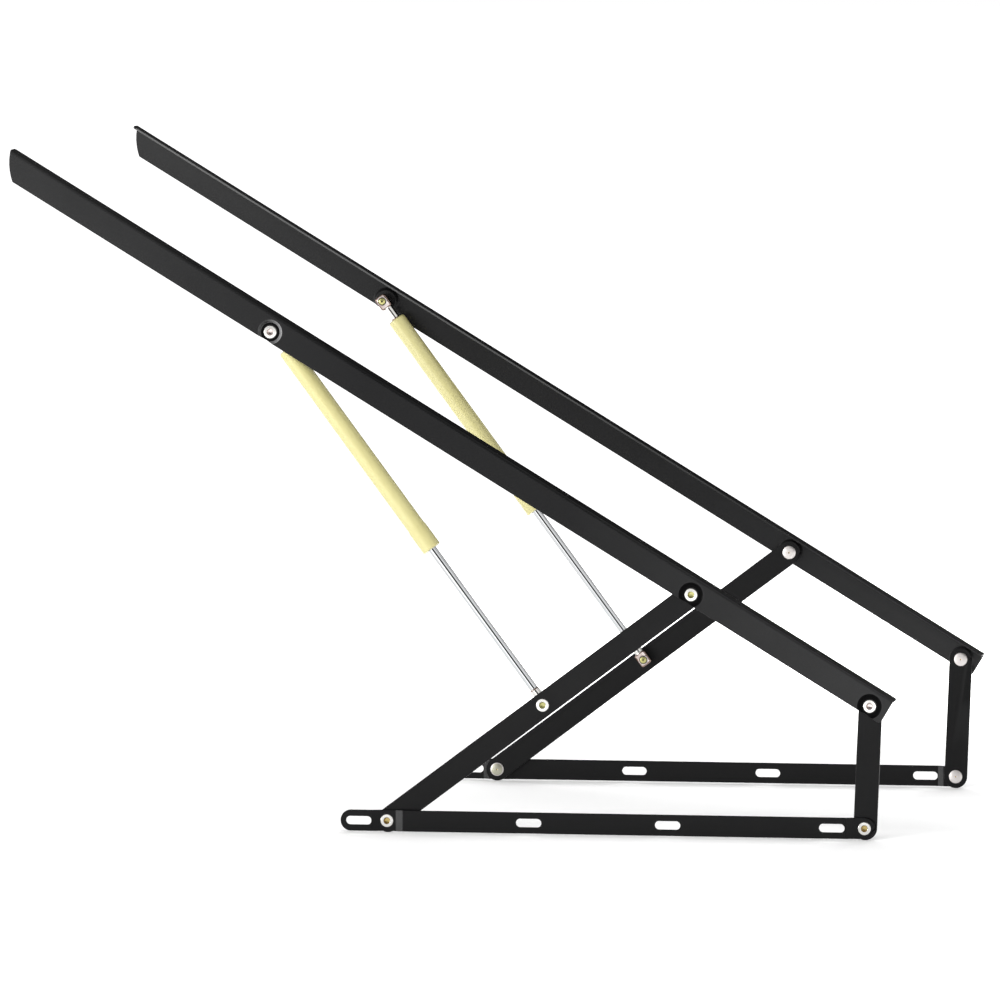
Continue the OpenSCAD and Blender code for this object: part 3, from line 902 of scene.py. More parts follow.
@dataclass(frozen=True)
class Bar:
    """A CAD bar that gets a copy with round edges.

    Args:
        node: The CAD node.
        coats: The finish of the faces. On a bar with more finishes they are those of the faces,
        of the innermost cut edge, of the joggles or the first seat's wall, and of the seats. On the rail
        the first paints light along its length, the second and third paint highlights and the fourth
        paints shade; on the base bar the third paints a highlight on the joggles.
        seats: The pressed seats on the bar.
        tip_r: Edges within this distance of the end tips stay sharp, in millimetres.
        wall_margin: How far past a seat's radius its wall's faces are looked for, in millimetres.
        lean: Least and largest share of Y in the normal of a slope.
        flat_lean: Least share of Y in the normal of the innermost cut edge.
        rounding: How the edges are rounded.
    """

    node: str
    coats: list[Material]
    seats: tuple[Seat, ...] = ()
    tip_r: float = 0.0
    wall_margin: float = 0.3
    lean: tuple[float, float] = (0.3, 0.985)
    flat_lean: float = 0.9
    rounding: EdgeRounding = EdgeRounding()

    def merged(self, mesh: bpy.types.Mesh) -> bmesh.types.BMesh:
        """Copies the CAD node's triangles and merges them into flat faces.

        Args:
            mesh: The empty mesh that first takes the triangles.

        Returns:
            The merged copy, for editing.
        """
        source = frame["nodes"][self.node].data
        corners = np.empty(len(source.loops), int)
        source.loops.foreach_get("vertex_index", corners)
        mesh.from_pydata(read_triples(source.vertices, "co").tolist(), [], corners.reshape(-1, 3).tolist())
        work = bmesh.new()
        work.from_mesh(mesh)
        bmesh.ops.remove_doubles(work, verts=work.verts, dist=self.rounding.merge * MM)
        bmesh.ops.dissolve_limit(work, angle_limit=math.radians(self.rounding.flat_turn),
                                 verts=work.verts, edges=work.edges)
        work.edges.ensure_lookup_table()
        work.verts.ensure_lookup_table()
        work.verts.index_update()
        return work

    def edge_weights(self, work: bmesh.types.BMesh, spots: np.ndarray) -> np.ndarray:
        """Weighs the edges for the bevel.

        An edge between faces that turn more than the least turn weighs the sheared radius as a
        share of the pressed one. It weighs 1 on a joggle and where both its ends lie at a
        seat's radius from the seat's axis. An edge near the end tips weighs 0.

        Args:
            work: The merged copy.
            spots: Its vertex places.

        Returns:
            The weight of each edge.
        """
        rounding = self.rounding
        turn = np.degrees([edge.calc_face_angle(0.0) for edge in work.edges])
        ends = np.array([[vert.index for vert in edge.verts] for edge in work.edges])
        sharp = turn > (rounding.least_turn if self.seats else rounding.joggle_turn)
        pressed = sharp & (turn < rounding.least_turn)
        for seat in self.seats:
            for radius in (seat.outer_r, seat.floor_r):
                near = np.abs(seat.away(spots) - radius) < rounding.on_radius
                pressed |= near[ends].all(axis=1)
        depth = np.abs(spots[:, 1])
        inner = depth < (depth.min() + depth.max()) / 2
        tip = spots[:, 0] > spots[:, 0].max() - SAME_PLACE
        tip[np.where(inner, spots[:, 0], np.inf).argmin()] = True
        from_tip = np.linalg.norm(spots[:, None] - spots[tip][None], axis=2).min(axis=1) / MM
        sharp &= (from_tip[ends] > self.tip_r).any(axis=1)
        return np.where(pressed, 1.0, rounding.sheared / rounding.pressed) * sharp

    def face_tones(self, mesh: bpy.types.Mesh, innermost: float) -> np.ndarray:
        """Chooses the finish of each face of a bar with more than one.

        A face is flat when its normal runs nearly along Y, and a slope when it leans between
        two limits. The innermost flat faces are the cut edge, which takes a painted highlight.
        Slopes are a seat's wall near a seat, and on a bar without seats they are joggles, of
        which those that face -X, towards the lamps on the left, take a lighter coat as a painted
        highlight. On the outer side the first seat's wall takes a painted highlight, and the
        other seats' walls and every seat's floor take a painted shade.

        Args:
            mesh: The merged mesh.
            innermost: Least distance of its vertices from the middle plane of the pair, in metres.

        Returns:
            The finish number of each face.
        """
        middles, ways = read_triples(mesh.polygons, "center"), read_triples(mesh.polygons, "normal")
        across, outer = np.abs(ways[:, 1]), ways[:, 1] * middles[:, 1] > 0
        slope = (across > self.lean[0]) & (across < self.lean[1])
        cut = (across > self.flat_lean) & (np.abs(middles[:, 1]) < innermost + SAME_PLACE)
        # Finish 1 paints a highlight on the cut edge, and 2 a highlight on the joggles that face -X.
        tone = np.where(slope & (ways[:, 0] < 0.0) & (not self.seats), 2, cut)
        for rank, seat in enumerate(self.seats):
            away = seat.away(middles)
            wall = slope & (away < seat.outer_r + self.wall_margin)
            # Painted shade on the seats' outer walls and floors, and a painted highlight on the first seat's wall.
            tone[outer & (wall | (away < seat.floor_r))] = 3
            tone[outer & wall & (rank == 0)] = 2
        return tone

    def build(self) -> bpy.types.Object:
        """Makes the copy.

        Returns:
            The copy, with a live Bevel modifier.
        """
        name = f"{self.node}_coated"
        mesh = bpy.data.meshes.new(name)
        work = self.merged(mesh)
        spots = np.array([vert.co for vert in work.verts])
        weights = self.edge_weights(work, spots)
        work.to_mesh(mesh)
        work.free()
        if len(self.coats) > 1:
            tones = self.face_tones(mesh, np.abs(spots[:, 1]).min())
            mesh.polygons.foreach_set("material_index", tones.astype(np.int32))
        mesh.attributes.new("bevel_weight_edge", "FLOAT", "EDGE")
        mesh.attributes["bevel_weight_edge"].data.foreach_set("value", weights.astype(np.float32))
        for coat in self.coats:
            mesh.materials.append(coat)
        mesh.shade_smooth()
        mesh.update()
        obj = link_object(name, mesh)
        bevel = obj.modifiers.new("rounded_edges", "BEVEL")
        bevel.limit_method = "WEIGHT"
        bevel.width = self.rounding.pressed * MM
        bevel.segments = self.rounding.segments
        bevel.use_clamp_overlap = False
        bevel.loop_slide = False
        bevel.harden_normals = True
        return obj


@dataclass(frozen=True)
class Layers:
    """Depths behind a unit's outer face and the turned sizes of its rivets, in millimetres."""

    seat: float = 6.0
    bar_t: float = 3.0
    rail_t: float = 2.5
    washer_t: float = 0.8
    side_play: float = 0.15
    link_t: float = 3.0
    spring: float = 22.37
    eye_t: float = 12.0
    pin_r: float = 4.0
    ring_r: float = 7.75
    ring_t: float = 2.2
    hole_r: float = 3.5
    hole_depth: float = 4.5
    dome_r: float = 8.1
    dome_t: float = 2.2
    dome_rim: float = 0.7
    dimple_r: float = 1.3
    shoulder_r: float = 6.0
    button_r: float = 6.0
    button_t: float = 2.4
    # Reach and rise of the black ring that paints the shade round each head.
    gap_r: float = 0.75
    gap_t: float = 0.2

    @property
    def washer_end(self) -> float:
        """Depth of the washers' inner faces."""
        return self.seat + self.washer_t

    @property
    def link_start(self) -> float:
        """Depth of the links' outer faces."""
        return self.washer_end + self.side_play

    @property
    def link_end(self) -> float:
        """Depth of the links' inner faces."""
        return self.link_start + self.link_t

    @property
    def dome_start(self) -> float:
        """Depth where the domed heads start."""
        return self.link_end + self.side_play

    @property
    def eye_start(self) -> float:
        """Depth of the fittings' outer faces."""
        return self.spring - self.eye_t / 2

    @property
    def button_start(self) -> float:
        """Depth where the button heads start."""
        return self.spring + self.eye_t / 2 + self.side_play


@dataclass(frozen=True)
class Stand:
    """Where one unit stands: its outer face, the way its depth runs, and its pivots.

    Args:
        side: Which unit.
        face: Y of the outer face, in metres.
        inward: +1 or -1, the way the depth runs along Y.
        pivots: Pivot name to (x, z), in metres.
    """

    side: Side
    face: float
    inward: float
    pivots: dict[str, tuple[float, float]]

    @classmethod
    def of(cls, side: Side) -> "Stand":
        """Reads a unit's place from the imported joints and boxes.

        Args:
            side: Which unit.

        Returns:
            The unit's stand.
        """
        name = side.value
        joints = {j["name"]: j for j in frame["joints"]}

        def middle(node: str) -> tuple[float, float]:
            """Middle of a node's box, as (x, z)."""
            low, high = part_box(node)
            return ((low.x + high.x) / 2, (low.z + high.z) / 2)

        def pivot(joint: str) -> tuple[float, float]:
            """A joint's pivot, as (x, z)."""
            place = joints[f"{name}_{joint}"]["pos_m"]
            return (place[0], place[2])

        low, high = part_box(f"{name}_base_rail")
        inward = 1.0 if side is Side.RIGHT else -1.0
        return cls(side, low.y if inward > 0 else high.y, inward, {
            "first_base": pivot("fold"), "long_top": pivot("rail_turn"),
            "short_top": pivot("short_turn"), "spring_top": pivot("spring_turn"),
            "second_base": middle(f"{name}_base_rivet_head"), "spring_end": middle(f"{name}_rod_pin"),
        })

    def place(self, pivot: str, depth: float = 0.0) -> np.ndarray:
        """Returns the point of a pivot at a depth behind the outer face, in millimetres."""
        x, z = self.pivots[pivot]
        return np.array([x, self.face + self.inward * depth * MM, z])

    def pin_axes(self, pivot: str) -> Axes:
        """Axes of a pivot, turning about the depth direction."""
        return Axes(self.place(pivot), np.array([1.0, 0.0, 0.0]), DEPTH_AXIS * self.inward)

    def spring_line(self) -> tuple[np.ndarray, float]:
        """Finds the gas spring's line.

        Returns:
            Its direction from its top pivot, and its length in millimetres.
        """
        run = self.place("spring_end") - self.place("spring_top")
        length = float(np.linalg.norm(run))
        return run / length, length / MM

    def spring_axes(self, layers: Layers) -> Axes:
        """Axes whose third one runs along the gas spring from its top pivot."""
        return Axes(self.place("spring_top", layers.spring), DEPTH_AXIS, self.spring_line()[0])

    def eye_axes(self, pivot: str, towards: float, layers: Layers) -> Axes:
        """Axes of an end fitting, with the first one towards its neck."""
        return Axes(self.place(pivot, layers.spring), self.spring_line()[0] * towards, DEPTH_AXIS * self.inward)


class Zone(IntEnum):
    """Finish numbers in the profile of a rivet or a stud."""

    HEAD = 0
    HOLE = 1
    CROWN = 2
    DIMPLE = 3
    # Black rings and grooves round the heads, and the buttons' middle dimples: painted shade.
    GAP = 4
    RIM = 5


@dataclass
class Rivets:
    """Every turned rivet and stud of one unit: a ring head outside and a dome, stud or button inside."""

    stand: Stand
    palette: Palette
    layers: Layers = field(default_factory=Layers)
    rim_turn: float = 0.5
    dome_steps: int = 6
    dimple_margin: float = 0.8

    def ring_head(self, seat: float, end: float) -> Profile:
        """Profile of a ring head with a flared blind hole and a black ring round it that paints the shade where it
        meets the plate, up to the shank's end.

        Args:
            seat: Depth of the face that the head sits on.
            end: Depth where the shank ends.

        Returns:
            Profile rows.
        """
        size = self.layers
        face = seat - size.ring_t
        floor = face + size.hole_depth
        gap_r, lip = size.ring_r + size.gap_r, seat - size.gap_t
        return [
            (0.0, floor + 0.5, 0.0, Zone.HOLE), (size.hole_r - 0.3, floor, SOFT, Zone.HOLE),
            (size.hole_r, face + 0.9, SOFT, Zone.HOLE), (size.hole_r + 0.55, face, 0.35, Zone.HEAD),
            (size.ring_r - 0.35, face + 0.12, 0.6, Zone.HEAD), (size.ring_r, face + 0.9, 0.5, Zone.HEAD),
            (size.ring_r - 0.1, lip, FINE, Zone.GAP), (gap_r, lip, CRISP, Zone.GAP), (gap_r, seat, CRISP, Zone.GAP),
            (size.pin_r, seat, FINE, Zone.HEAD), (size.pin_r, end, FINE, Zone.HEAD),
        ]

    def dome(self, start: float, radius: float, thick: float, dimple: float) -> Profile:
        """Profile of a domed end with a small dimple in its middle and a black ring round its foot that paints the
        shade there.

        The dome is a quarter of an ellipse: at the turn a, the point lies at radius times
        cos(a), and at the crown's height times sin(a) above the rim.

        Args:
            start: Depth where it starts.
            radius: Its radius.
            thick: Its thickness.
            dimple: Radius of the dimple.

        Returns:
            Profile rows, from its inner shoulder to the axis.
        """
        rim, top = start + self.layers.dome_rim, start + thick
        gap_r, lip = radius + self.layers.gap_r, start + self.layers.gap_t
        rows = [(gap_r, start, CRISP, Zone.GAP), (gap_r, lip, CRISP, Zone.GAP),
                (radius, lip, CRISP, Zone.RIM), (radius, rim, EASED, Zone.RIM)]
        rows += [(radius * math.cos(turn), rim + (top - rim) * math.sin(turn), 0.25,
                  Zone.RIM if turn < self.rim_turn else Zone.CROWN)
                 for turn in np.linspace(0.0, math.pi / 2, self.dome_steps + 1)[1:-1]]
        rows = [row for row in rows if row[0] > dimple + self.dimple_margin]
        return rows + [(dimple + 0.3, top - 0.05, SOFT, Zone.CROWN), (dimple * 0.6, top - 0.6, SOFT, Zone.DIMPLE),
                       (0.0, top - 0.75, 0.0, Zone.DIMPLE)]

    def button(self, start: float, radius: float, thick: float) -> Profile:
        """Profile of a stud's inner end: a flat rim, a groove painted black as shade and a small crown whose dimple is
        painted black as shade.

        Args:
            start: Depth where it starts.
            radius: Its radius.
            thick: Its thickness.

        Returns:
            Profile rows, from its inner shoulder to the axis.
        """
        rim, groove, top = start + thick * 0.4, start + thick * 0.2, start + thick
        crown_r = radius * 0.7
        gap_r = crown_r + radius * 0.13
        return [
            (radius, start, CRISP, Zone.RIM), (radius, rim, SOFT, Zone.RIM), (gap_r, rim, 0.15, Zone.GAP),
            (gap_r, groove, CRISP, Zone.GAP), (crown_r, groove, CRISP, Zone.GAP), (crown_r, rim, FINE, Zone.CROWN),
            (crown_r * 0.94, rim + thick * 0.3, 0.4, Zone.CROWN), (crown_r * 0.66, top - 0.1, 0.4, Zone.CROWN),
            (crown_r * 0.34, top, EASED, Zone.CROWN), (crown_r * 0.2, top - 0.8, EASED, Zone.GAP),
            (0.0, top - 0.9, 0.0, Zone.GAP),
        ]

    @staticmethod
    def shank(radius: float, *depths: float) -> Profile:
        """Returns the profile rows of a shank's steps at one radius."""
        return [(radius, depth, FINE, Zone.HEAD) for depth in depths]

    def piece(self, name: str, body: str, parts: list[tuple[Profile, str]], hole: Finish = Finish.GILT,
              crown: Finish = Finish.IVORY, rim: Finish = Finish.PEARL) -> None:
        """Turns profiles at their pivots and settles them as one piece.

        Args:
            name: The CAD node's name without its unit.
            body: The body that it rides on.
            parts: Each profile and its pivot.
            hole: Finish inside the ring head.
            crown: Finish of the domed end.
            rim: Finish of the domed end's rim.
        """
        surfaces = [(turned(profile), self.stand.pin_axes(pivot)) for profile, pivot in parts]
        # The fifth finish, black rubber, paints the shade in the rings, grooves and dimples.
        tones = self.palette.of(Finish.NICKEL, hole, crown, Finish.GILT, Finish.RUBBER, rim)
        node = f"{self.stand.side.value}_{name}"
        obj = make_piece(f"{node}_turned", surfaces, tones)
        settle(obj, body, Slot.NICKEL, node)

    def build(self) -> None:
        """Builds every rivet and stud of the unit."""
        size, unit = self.layers, self.stand.side.value
        dome = self.dome(size.dome_start, size.dome_r, size.dome_t, size.dimple_r)
        button = self.button(size.button_start, size.button_r, size.button_t)
        on_base, on_rail = size.seat - size.bar_t, size.seat - size.rail_t
        half = self.ring_head(on_base, size.washer_end) + [(0.0, size.washer_end, 0.0, Zone.HEAD)]
        self.piece("base_rivets", "bases", [
            (self.ring_head(on_base, size.dome_start) + dome, "first_base"), (half, "second_base")])
        self.piece("base_rivet_head", f"{unit}_short_arm", [(
            [(0.0, size.link_start, 0.0, Zone.HEAD)] + self.shank(size.pin_r, size.link_start, size.dome_start)
            + dome, "second_base")], crown=Finish.PEARL)
        for name, pivot, hole in (("long_rivet", "long_top", Finish.PASSIVATE),
                                  ("short_rivet", "short_top", Finish.ZINC)):
            rivet = self.ring_head(on_rail, size.dome_start) + dome
            self.piece(name, f"{unit}_rail", [(rivet, pivot)], hole, Finish.PEARL)
        stop = size.eye_start - size.side_play
        collar_end = [(size.shoulder_r, stop, 0.4, Zone.HEAD)]
        self.piece("rail_stud", f"{unit}_rail", [(
            self.ring_head(on_rail, size.seat) + self.shank(size.shoulder_r, size.seat) + collar_end
            + self.shank(size.pin_r, stop, size.button_start) + button, "spring_top")],
            Finish.ZINC, Finish.PASSIVATE, Finish.ZINC)
        self.piece("link_stud", f"{unit}_long_arm", [(
            self.ring_head(size.link_start, size.link_end) + self.shank(size.shoulder_r, size.link_end)
            + collar_end + [(0.0, stop, 0.0, Zone.HEAD)], "spring_end")], Finish.PASSIVATE)
        self.piece("rod_pin", f"{unit}_rod", [(
            [(0.0, size.eye_start, 0.0, Zone.HEAD)] + self.shank(size.pin_r, size.eye_start, size.button_start)
            + button, "spring_end")], crown=Finish.PASSIVATE, rim=Finish.ZINC)


@dataclass
class GasSpring:
    """The gas spring of one unit: fittings, tube, collar and rod, in millimetres."""

    stand: Stand
    palette: Palette
    layers: Layers = field(default_factory=Layers)
    tube_r: float = 11.0
    bore_r: float = 9.5
    start: float = 27.0
    length: float = 290.0
    lip_r: float = 7.0
    lip_wall: float = 1.0
    roll_r: float = 2.5
    collar_l: float = 29.0
    collar_wall: float = 0.6
    collar_end_t: float = 1.2
    rod_r: float = 5.0
    rod_gap: float = 0.6
    stem_r: float = 3.0
    stem_depth: float = 3.0
    press_gap: float = 0.02
    fitting_l: float = 22.0
    eye_l: float = 17.6
    eye_h: float = 14.6
    eye_corner: float = 3.0
    eye_edge: float = 1.8
    neck_r: float = 5.5
    pin_gap: float = 0.05
    around: int = 72

    def along(self, name: str, body: str, rows: list[tuple[float, float, float]],
              finish: Finish, slot: Slot, closed: bool = False) -> None:
        """Turns a profile about the spring's line and settles it.

        Args:
            name: The CAD node's name without its unit.
            body: The body's name without its unit.
            rows: Radius, distance along the spring and corner radius of each profile point.
            finish: Its finish.
            slot: The record's material slot.
            closed: True for a ring, whose profile joins its own start.
        """
        node = f"{self.stand.side.value}_{name}"
        surface = turned([(*row, 0) for row in rows], around=self.around, closed=closed)
        axes = self.stand.spring_axes(self.layers)
        obj = make_piece(f"{node}_turned", [(surface, axes)], self.palette.of(finish))
        settle(obj, f"{self.stand.side.value}_{body}", slot, node)

    def tube(self) -> None:
        """Tube with both edges rolled in: outer wall, rolls, lips and bore in one closed profile."""
        start, end = self.start, self.start + self.length
        low, high = start + self.lip_wall, end - self.lip_wall
        self.along("cylinder_tube", "cylinder", [
            (self.lip_r, start, 0.4), (self.tube_r, start, self.roll_r),
            (self.tube_r, end, self.roll_r), (self.lip_r, end, 0.4),
            (self.lip_r, high, EASED), (self.bore_r, high, EASED), (self.bore_r, low, EASED), (self.lip_r, low, EASED),
        ], Finish.CREAM, Slot.CREAM, closed=True)

    def collar(self) -> None:
        """Collar over the open end, with a rolled rim and a round nose."""
        end = self.start + self.length
        inner = self.tube_r + self.press_gap
        outer, hole = inner + self.collar_wall, self.rod_r + self.rod_gap
        seat, first = end + self.press_gap, end - self.collar_l
        nose = seat + self.collar_end_t
        self.along("cylinder_collar", "cylinder", [
            (inner, first, FINE), (outer - 0.02, first, 0.25), (outer, nose, 0.9), (hole, nose, SOFT),
            (hole, seat, FINE), (inner, seat, FINE),
        ], Finish.CREAM, Slot.CREAM, closed=True)

    def rod(self) -> None:
        """Piston rod with its stems, stepped up behind the piston and down before the fitting."""
        _, length = self.stand.spring_line()
        low, _ = self.reach("piston_rod")
        step = self.reach("piston")[1] + self.press_gap
        shoulder = length - self.fitting_l - self.press_gap
        tip = length - (self.eye_l - self.eye_h / 2 - self.stem_depth)
        self.along("piston_rod", "rod", [
            (0.0, low, 0.0), (self.stem_r, low, SOFT), (self.stem_r, step, FINE), (self.rod_r, step, EASED),
            (self.rod_r, shoulder, SOFT), (self.stem_r, shoulder, FINE), (self.stem_r, tip, EASED), (0.0, tip, 0.0),
        ], Finish.CHROME, Slot.CHROME)

    def reach(self, name: str) -> tuple[float, float]:
        """Finds how far a CAD node reaches along the spring.

        Args:
            name: The CAD node's name without its unit.

        Returns:
            Its first and last distance from the top pivot, in millimetres.
        """
        place = read_triples(frame["nodes"][f"{self.stand.side.value}_{name}"].data.vertices, "co")
        axes = self.stand.spring_axes(self.layers)
        run = (place - axes.origin) @ axes.third / MM
        return float(run.min()), float(run.max())

    def fitting(self, name: str, body: str, pivot: str, towards: float, neck_end: float) -> None:
        """End fitting: a bored block with round edges, and a neck with a flare and a collar line.
        The block's edges and side walls take a darker brown as painted shade; the collar line is a slight ridge in the
        same brown.

        Args:
            name: The CAD node's name without its unit.
            body: The body's name without its unit.
            pivot: The pivot that it turns on.
            towards: +1 or -1, the way its neck points along the spring.
            neck_end: Distance from the pivot to the neck's end.
        """
        size = self.layers
        block_end = self.eye_l - self.eye_h / 2
        socket_r, socket_end = self.stem_r + self.press_gap, neck_end - self.stem_depth
        block = bored_block(self.eye_h / 2, block_end, self.eye_h, size.eye_t, self.eye_corner,
                            self.eye_edge, size.pin_r + self.pin_gap)
        neck = turned([
            (0.0, block_end - 1.0, 0.0, 2), (self.neck_r + 0.4, block_end - 1.0, EASED, 2),
            (self.neck_r + 0.1, block_end + 0.5, 0.6, 2), (self.neck_r - 0.1, neck_end - 1.6, EASED, 1),
            (self.neck_r, neck_end - 0.9, EASED, 1), (self.neck_r - 0.1, neck_end, SOFT, 2),
            (socket_r, neck_end, FINE, 0), (socket_r, socket_end, FINE, 0), (0.0, socket_end, 0.0, 0),
        ])
        axes = self.stand.eye_axes(pivot, towards, size)
        neck_axes = Axes(axes.origin, DEPTH_AXIS, axes.first)
        node = f"{self.stand.side.value}_{name}"
        obj = make_piece(f"{node}_cast", [(block, axes), (neck, neck_axes)],
                         # Second finish: the darker brown of the painted shade on the block's edges and walls, also
                         # used on the collar line.
                         self.palette.of(Finish.ZINC, Finish.UMBER, Finish.NICKEL))
        settle(obj, f"{self.stand.side.value}_{body}", Slot.ZINC, node)

    def build(self) -> None:
        """Builds the spring's dressed pieces."""
        self.tube()
        self.collar()
        self.rod()
        self.fitting("cylinder_fitting", "cylinder", "spring_top", 1.0, self.start - self.press_gap)
        self.fitting("rod_fitting", "rod", "spring_end", -1.0, self.fitting_l)


@dataclass
class Bars:
    """The coated bars of one unit: base bar, long link, short link and angle rail."""

    stand: Stand
    palette: Palette
    dimple_r: float = 14.5
    floor_r: float = 11.4
    tip_r: float = 4.0

    def build(self) -> None:
        """Copies and rounds the four bars."""
        unit, pivots = self.stand.side.value, self.stand.pivots
        seats = tuple(Seat(pivots[name], self.dimple_r, self.floor_r)
                      for name in ("spring_top", "long_top", "short_top"))
        plain = self.palette.of(Finish.COAT)
        # Painted light: the base bar's third finish paints a highlight on its joggles; the rail's first paints light
        # along it, its second and third paint highlights and its fourth paints shade.
        base = self.palette.of(Finish.COAT, Finish.COAT, Finish.BEND)
        rail = self.palette.of(Finish.RAIL_COAT, Finish.EDGE, Finish.WALL, Finish.SEAT)
        for bar, body in (
            (Bar(f"{unit}_base_rail", base), "bases"),
            (Bar(f"{unit}_long_link", plain), f"{unit}_long_arm"),
            (Bar(f"{unit}_short_link", plain), f"{unit}_short_arm"),
            (Bar(f"{unit}_upper_rail", rail, seats, self.tip_r), f"{unit}_rail"),
        ):
            settle(bar.build(), body, Slot.COAT, bar.node)


@dataclass
class Unit:
    """One lift mechanism with everything on it."""

    side: Side
    palette: Palette

    def build(self) -> None:
        """Dresses the unit's bars, rivets, spring and the CAD nodes that stay."""
        stand = Stand.of(self.side)
        Bars(stand, self.palette).build()
        Rivets(stand, self.palette).build()
        GasSpring(stand, self.palette).build()
        self.finish_nodes()

    def finish_nodes(self) -> None:
        """Gives the CAD nodes that stay their materials."""
        kept = {
            Finish.NYLON: ("base_washers", "rail_washers"),
            Finish.BRASS: ("long_link_bushes", "short_link_bushes", "rod_guide"),
            Finish.CREAM: ("cylinder_plug",),
            Finish.RUBBER: ("rod_seal", "piston_ring"),
            Finish.ZINC: ("piston", "piston_nut"),
        }
        for finish, names in kept.items():
            material, = self.palette.of(finish)
            for name in names:
                node = frame["nodes"][f"{self.side.value}_{name}"]
                for slot in node.material_slots:
                    slot.material = material
                log.info("%s keeps its CAD mesh with %s", node.name, material.name)


@dataclass(frozen=True)
class Camera:
    """The photograph's view: a long lens from the front right, almost level.

    Args:
        azimuth: Turn of the view from straight ahead, in degrees.
        elevation: Its height above the level, in degrees.
        distance: Distance from the target, in metres.
        focal_px: Focal length in pixels of the photograph.
        image_px: Width of the photograph.
        sensor: Width of the camera's sensor, in millimetres.
        target: The point in the middle of the view, in metres.
        clip: Nearest and farthest distance that is shown, in metres.
    """

    azimuth: float = 10.5625
    elevation: float = 3.8718
    distance: float = 16.6014
    focal_px: float = 13810.2
    image_px: float = 1000.0
    sensor: float = 36.0
    target: tuple[float, float, float] = (-0.0064205, 0.0, 0.3699613)
    clip: tuple[float, float] = (0.1, 200.0)

    def build(self) -> None:
        """Makes the camera and sets it as the scene's."""
        turn, rise = math.radians(self.azimuth), math.radians(self.elevation)
        ahead = Vector((-math.sin(turn) * math.cos(rise), math.cos(turn) * math.cos(rise), -math.sin(rise)))
        right = Vector((math.cos(turn), math.sin(turn), 0.0))
        up = right.cross(ahead)
        data = bpy.data.cameras.new("photo_camera")
        data.sensor_width = self.sensor
        data.lens = self.sensor * self.focal_px / self.image_px
        data.clip_start, data.clip_end = self.clip
        camera = link_object("photo_camera", data)
        place = Vector(self.target) - ahead * self.distance
        camera.matrix_world = Matrix.Translation(place) @ Matrix((right, up, -ahead)).transposed().to_4x4()
        bpy.context.scene.camera = camera


@dataclass(frozen=True)
class Lamp:
    """A soft area lamp.

    Args:
        name: Its name.
        place: Where it stands, in metres.
        size: Its width and height.
        power: Its power in watts.
        glossy: Whether shiny surfaces show it.
        on_floor: True if it lights the floor alone, and False if it lights all but the floor.
        aim_z: Height that it is aimed at if it doesn't light the floor, in metres.
    """

    name: str
    place: tuple[float, float, float]
    size: tuple[float, float]
    power: float
    glossy: bool = True
    on_floor: bool = False
    aim_z: float = 0.35

    def build(self, floor: bpy.types.Object) -> None:
        """Makes the lamp, aimed at the middle of the pair.

        Args:
            floor: The floor, which the lamp lights alone or leaves out.
        """
        data = bpy.data.lights.new(self.name, "AREA")
        data.shape = "RECTANGLE"
        data.size, data.size_y = self.size
        data.energy = self.power
        lamp = link_object(self.name, data)
        aim = Vector((0.0, 0.0, 0.0 if self.on_floor else self.aim_z)) - Vector(self.place)
        lamp.matrix_world = Matrix.Translation(self.place) @ aim.to_track_quat("-Z", "Y").to_matrix().to_4x4()
        lamp.visible_camera = False
        lamp.visible_glossy = self.glossy
        receivers = bpy.data.collections.new(f"{self.name}_receivers")
        receivers.objects.link(floor)
        receivers.collection_objects[0].light_linking.link_state = "INCLUDE" if self.on_floor else "EXCLUDE"
        lamp.light_linking.receiver_collection = receivers


@dataclass(frozen=True)
class Cone:
    """A cone of directions, across whose edge a value changes.

    Args:
        axis: The cone's axis.
        outer: Half angle where the change starts, in degrees.
        inner: Half angle where it is complete, in degrees.
        outside: Value outside the cone.
        inside: Value inside it.
    """

    axis: tuple[float, float, float]
    outer: float
    inner: float
    outside: float
    inside: float

    def value(self, shader: Shader, way: Socket) -> Socket:
        """Works out the value for a direction, from the cosine of its angle to the axis.

        Args:
            shader: The world's shader.
            way: The direction.

        Returns:
            The value.
        """
        along = shader.add("ShaderNodeVectorMath", {1: self.axis}, operation="DOT_PRODUCT")
        shader.link(way, along.inputs[0])
        outer, inner = (math.cos(math.radians(angle)) for angle in (self.outer, self.inner))
        return shader.spread(along.outputs["Value"], outer, inner, self.outside, self.inside)


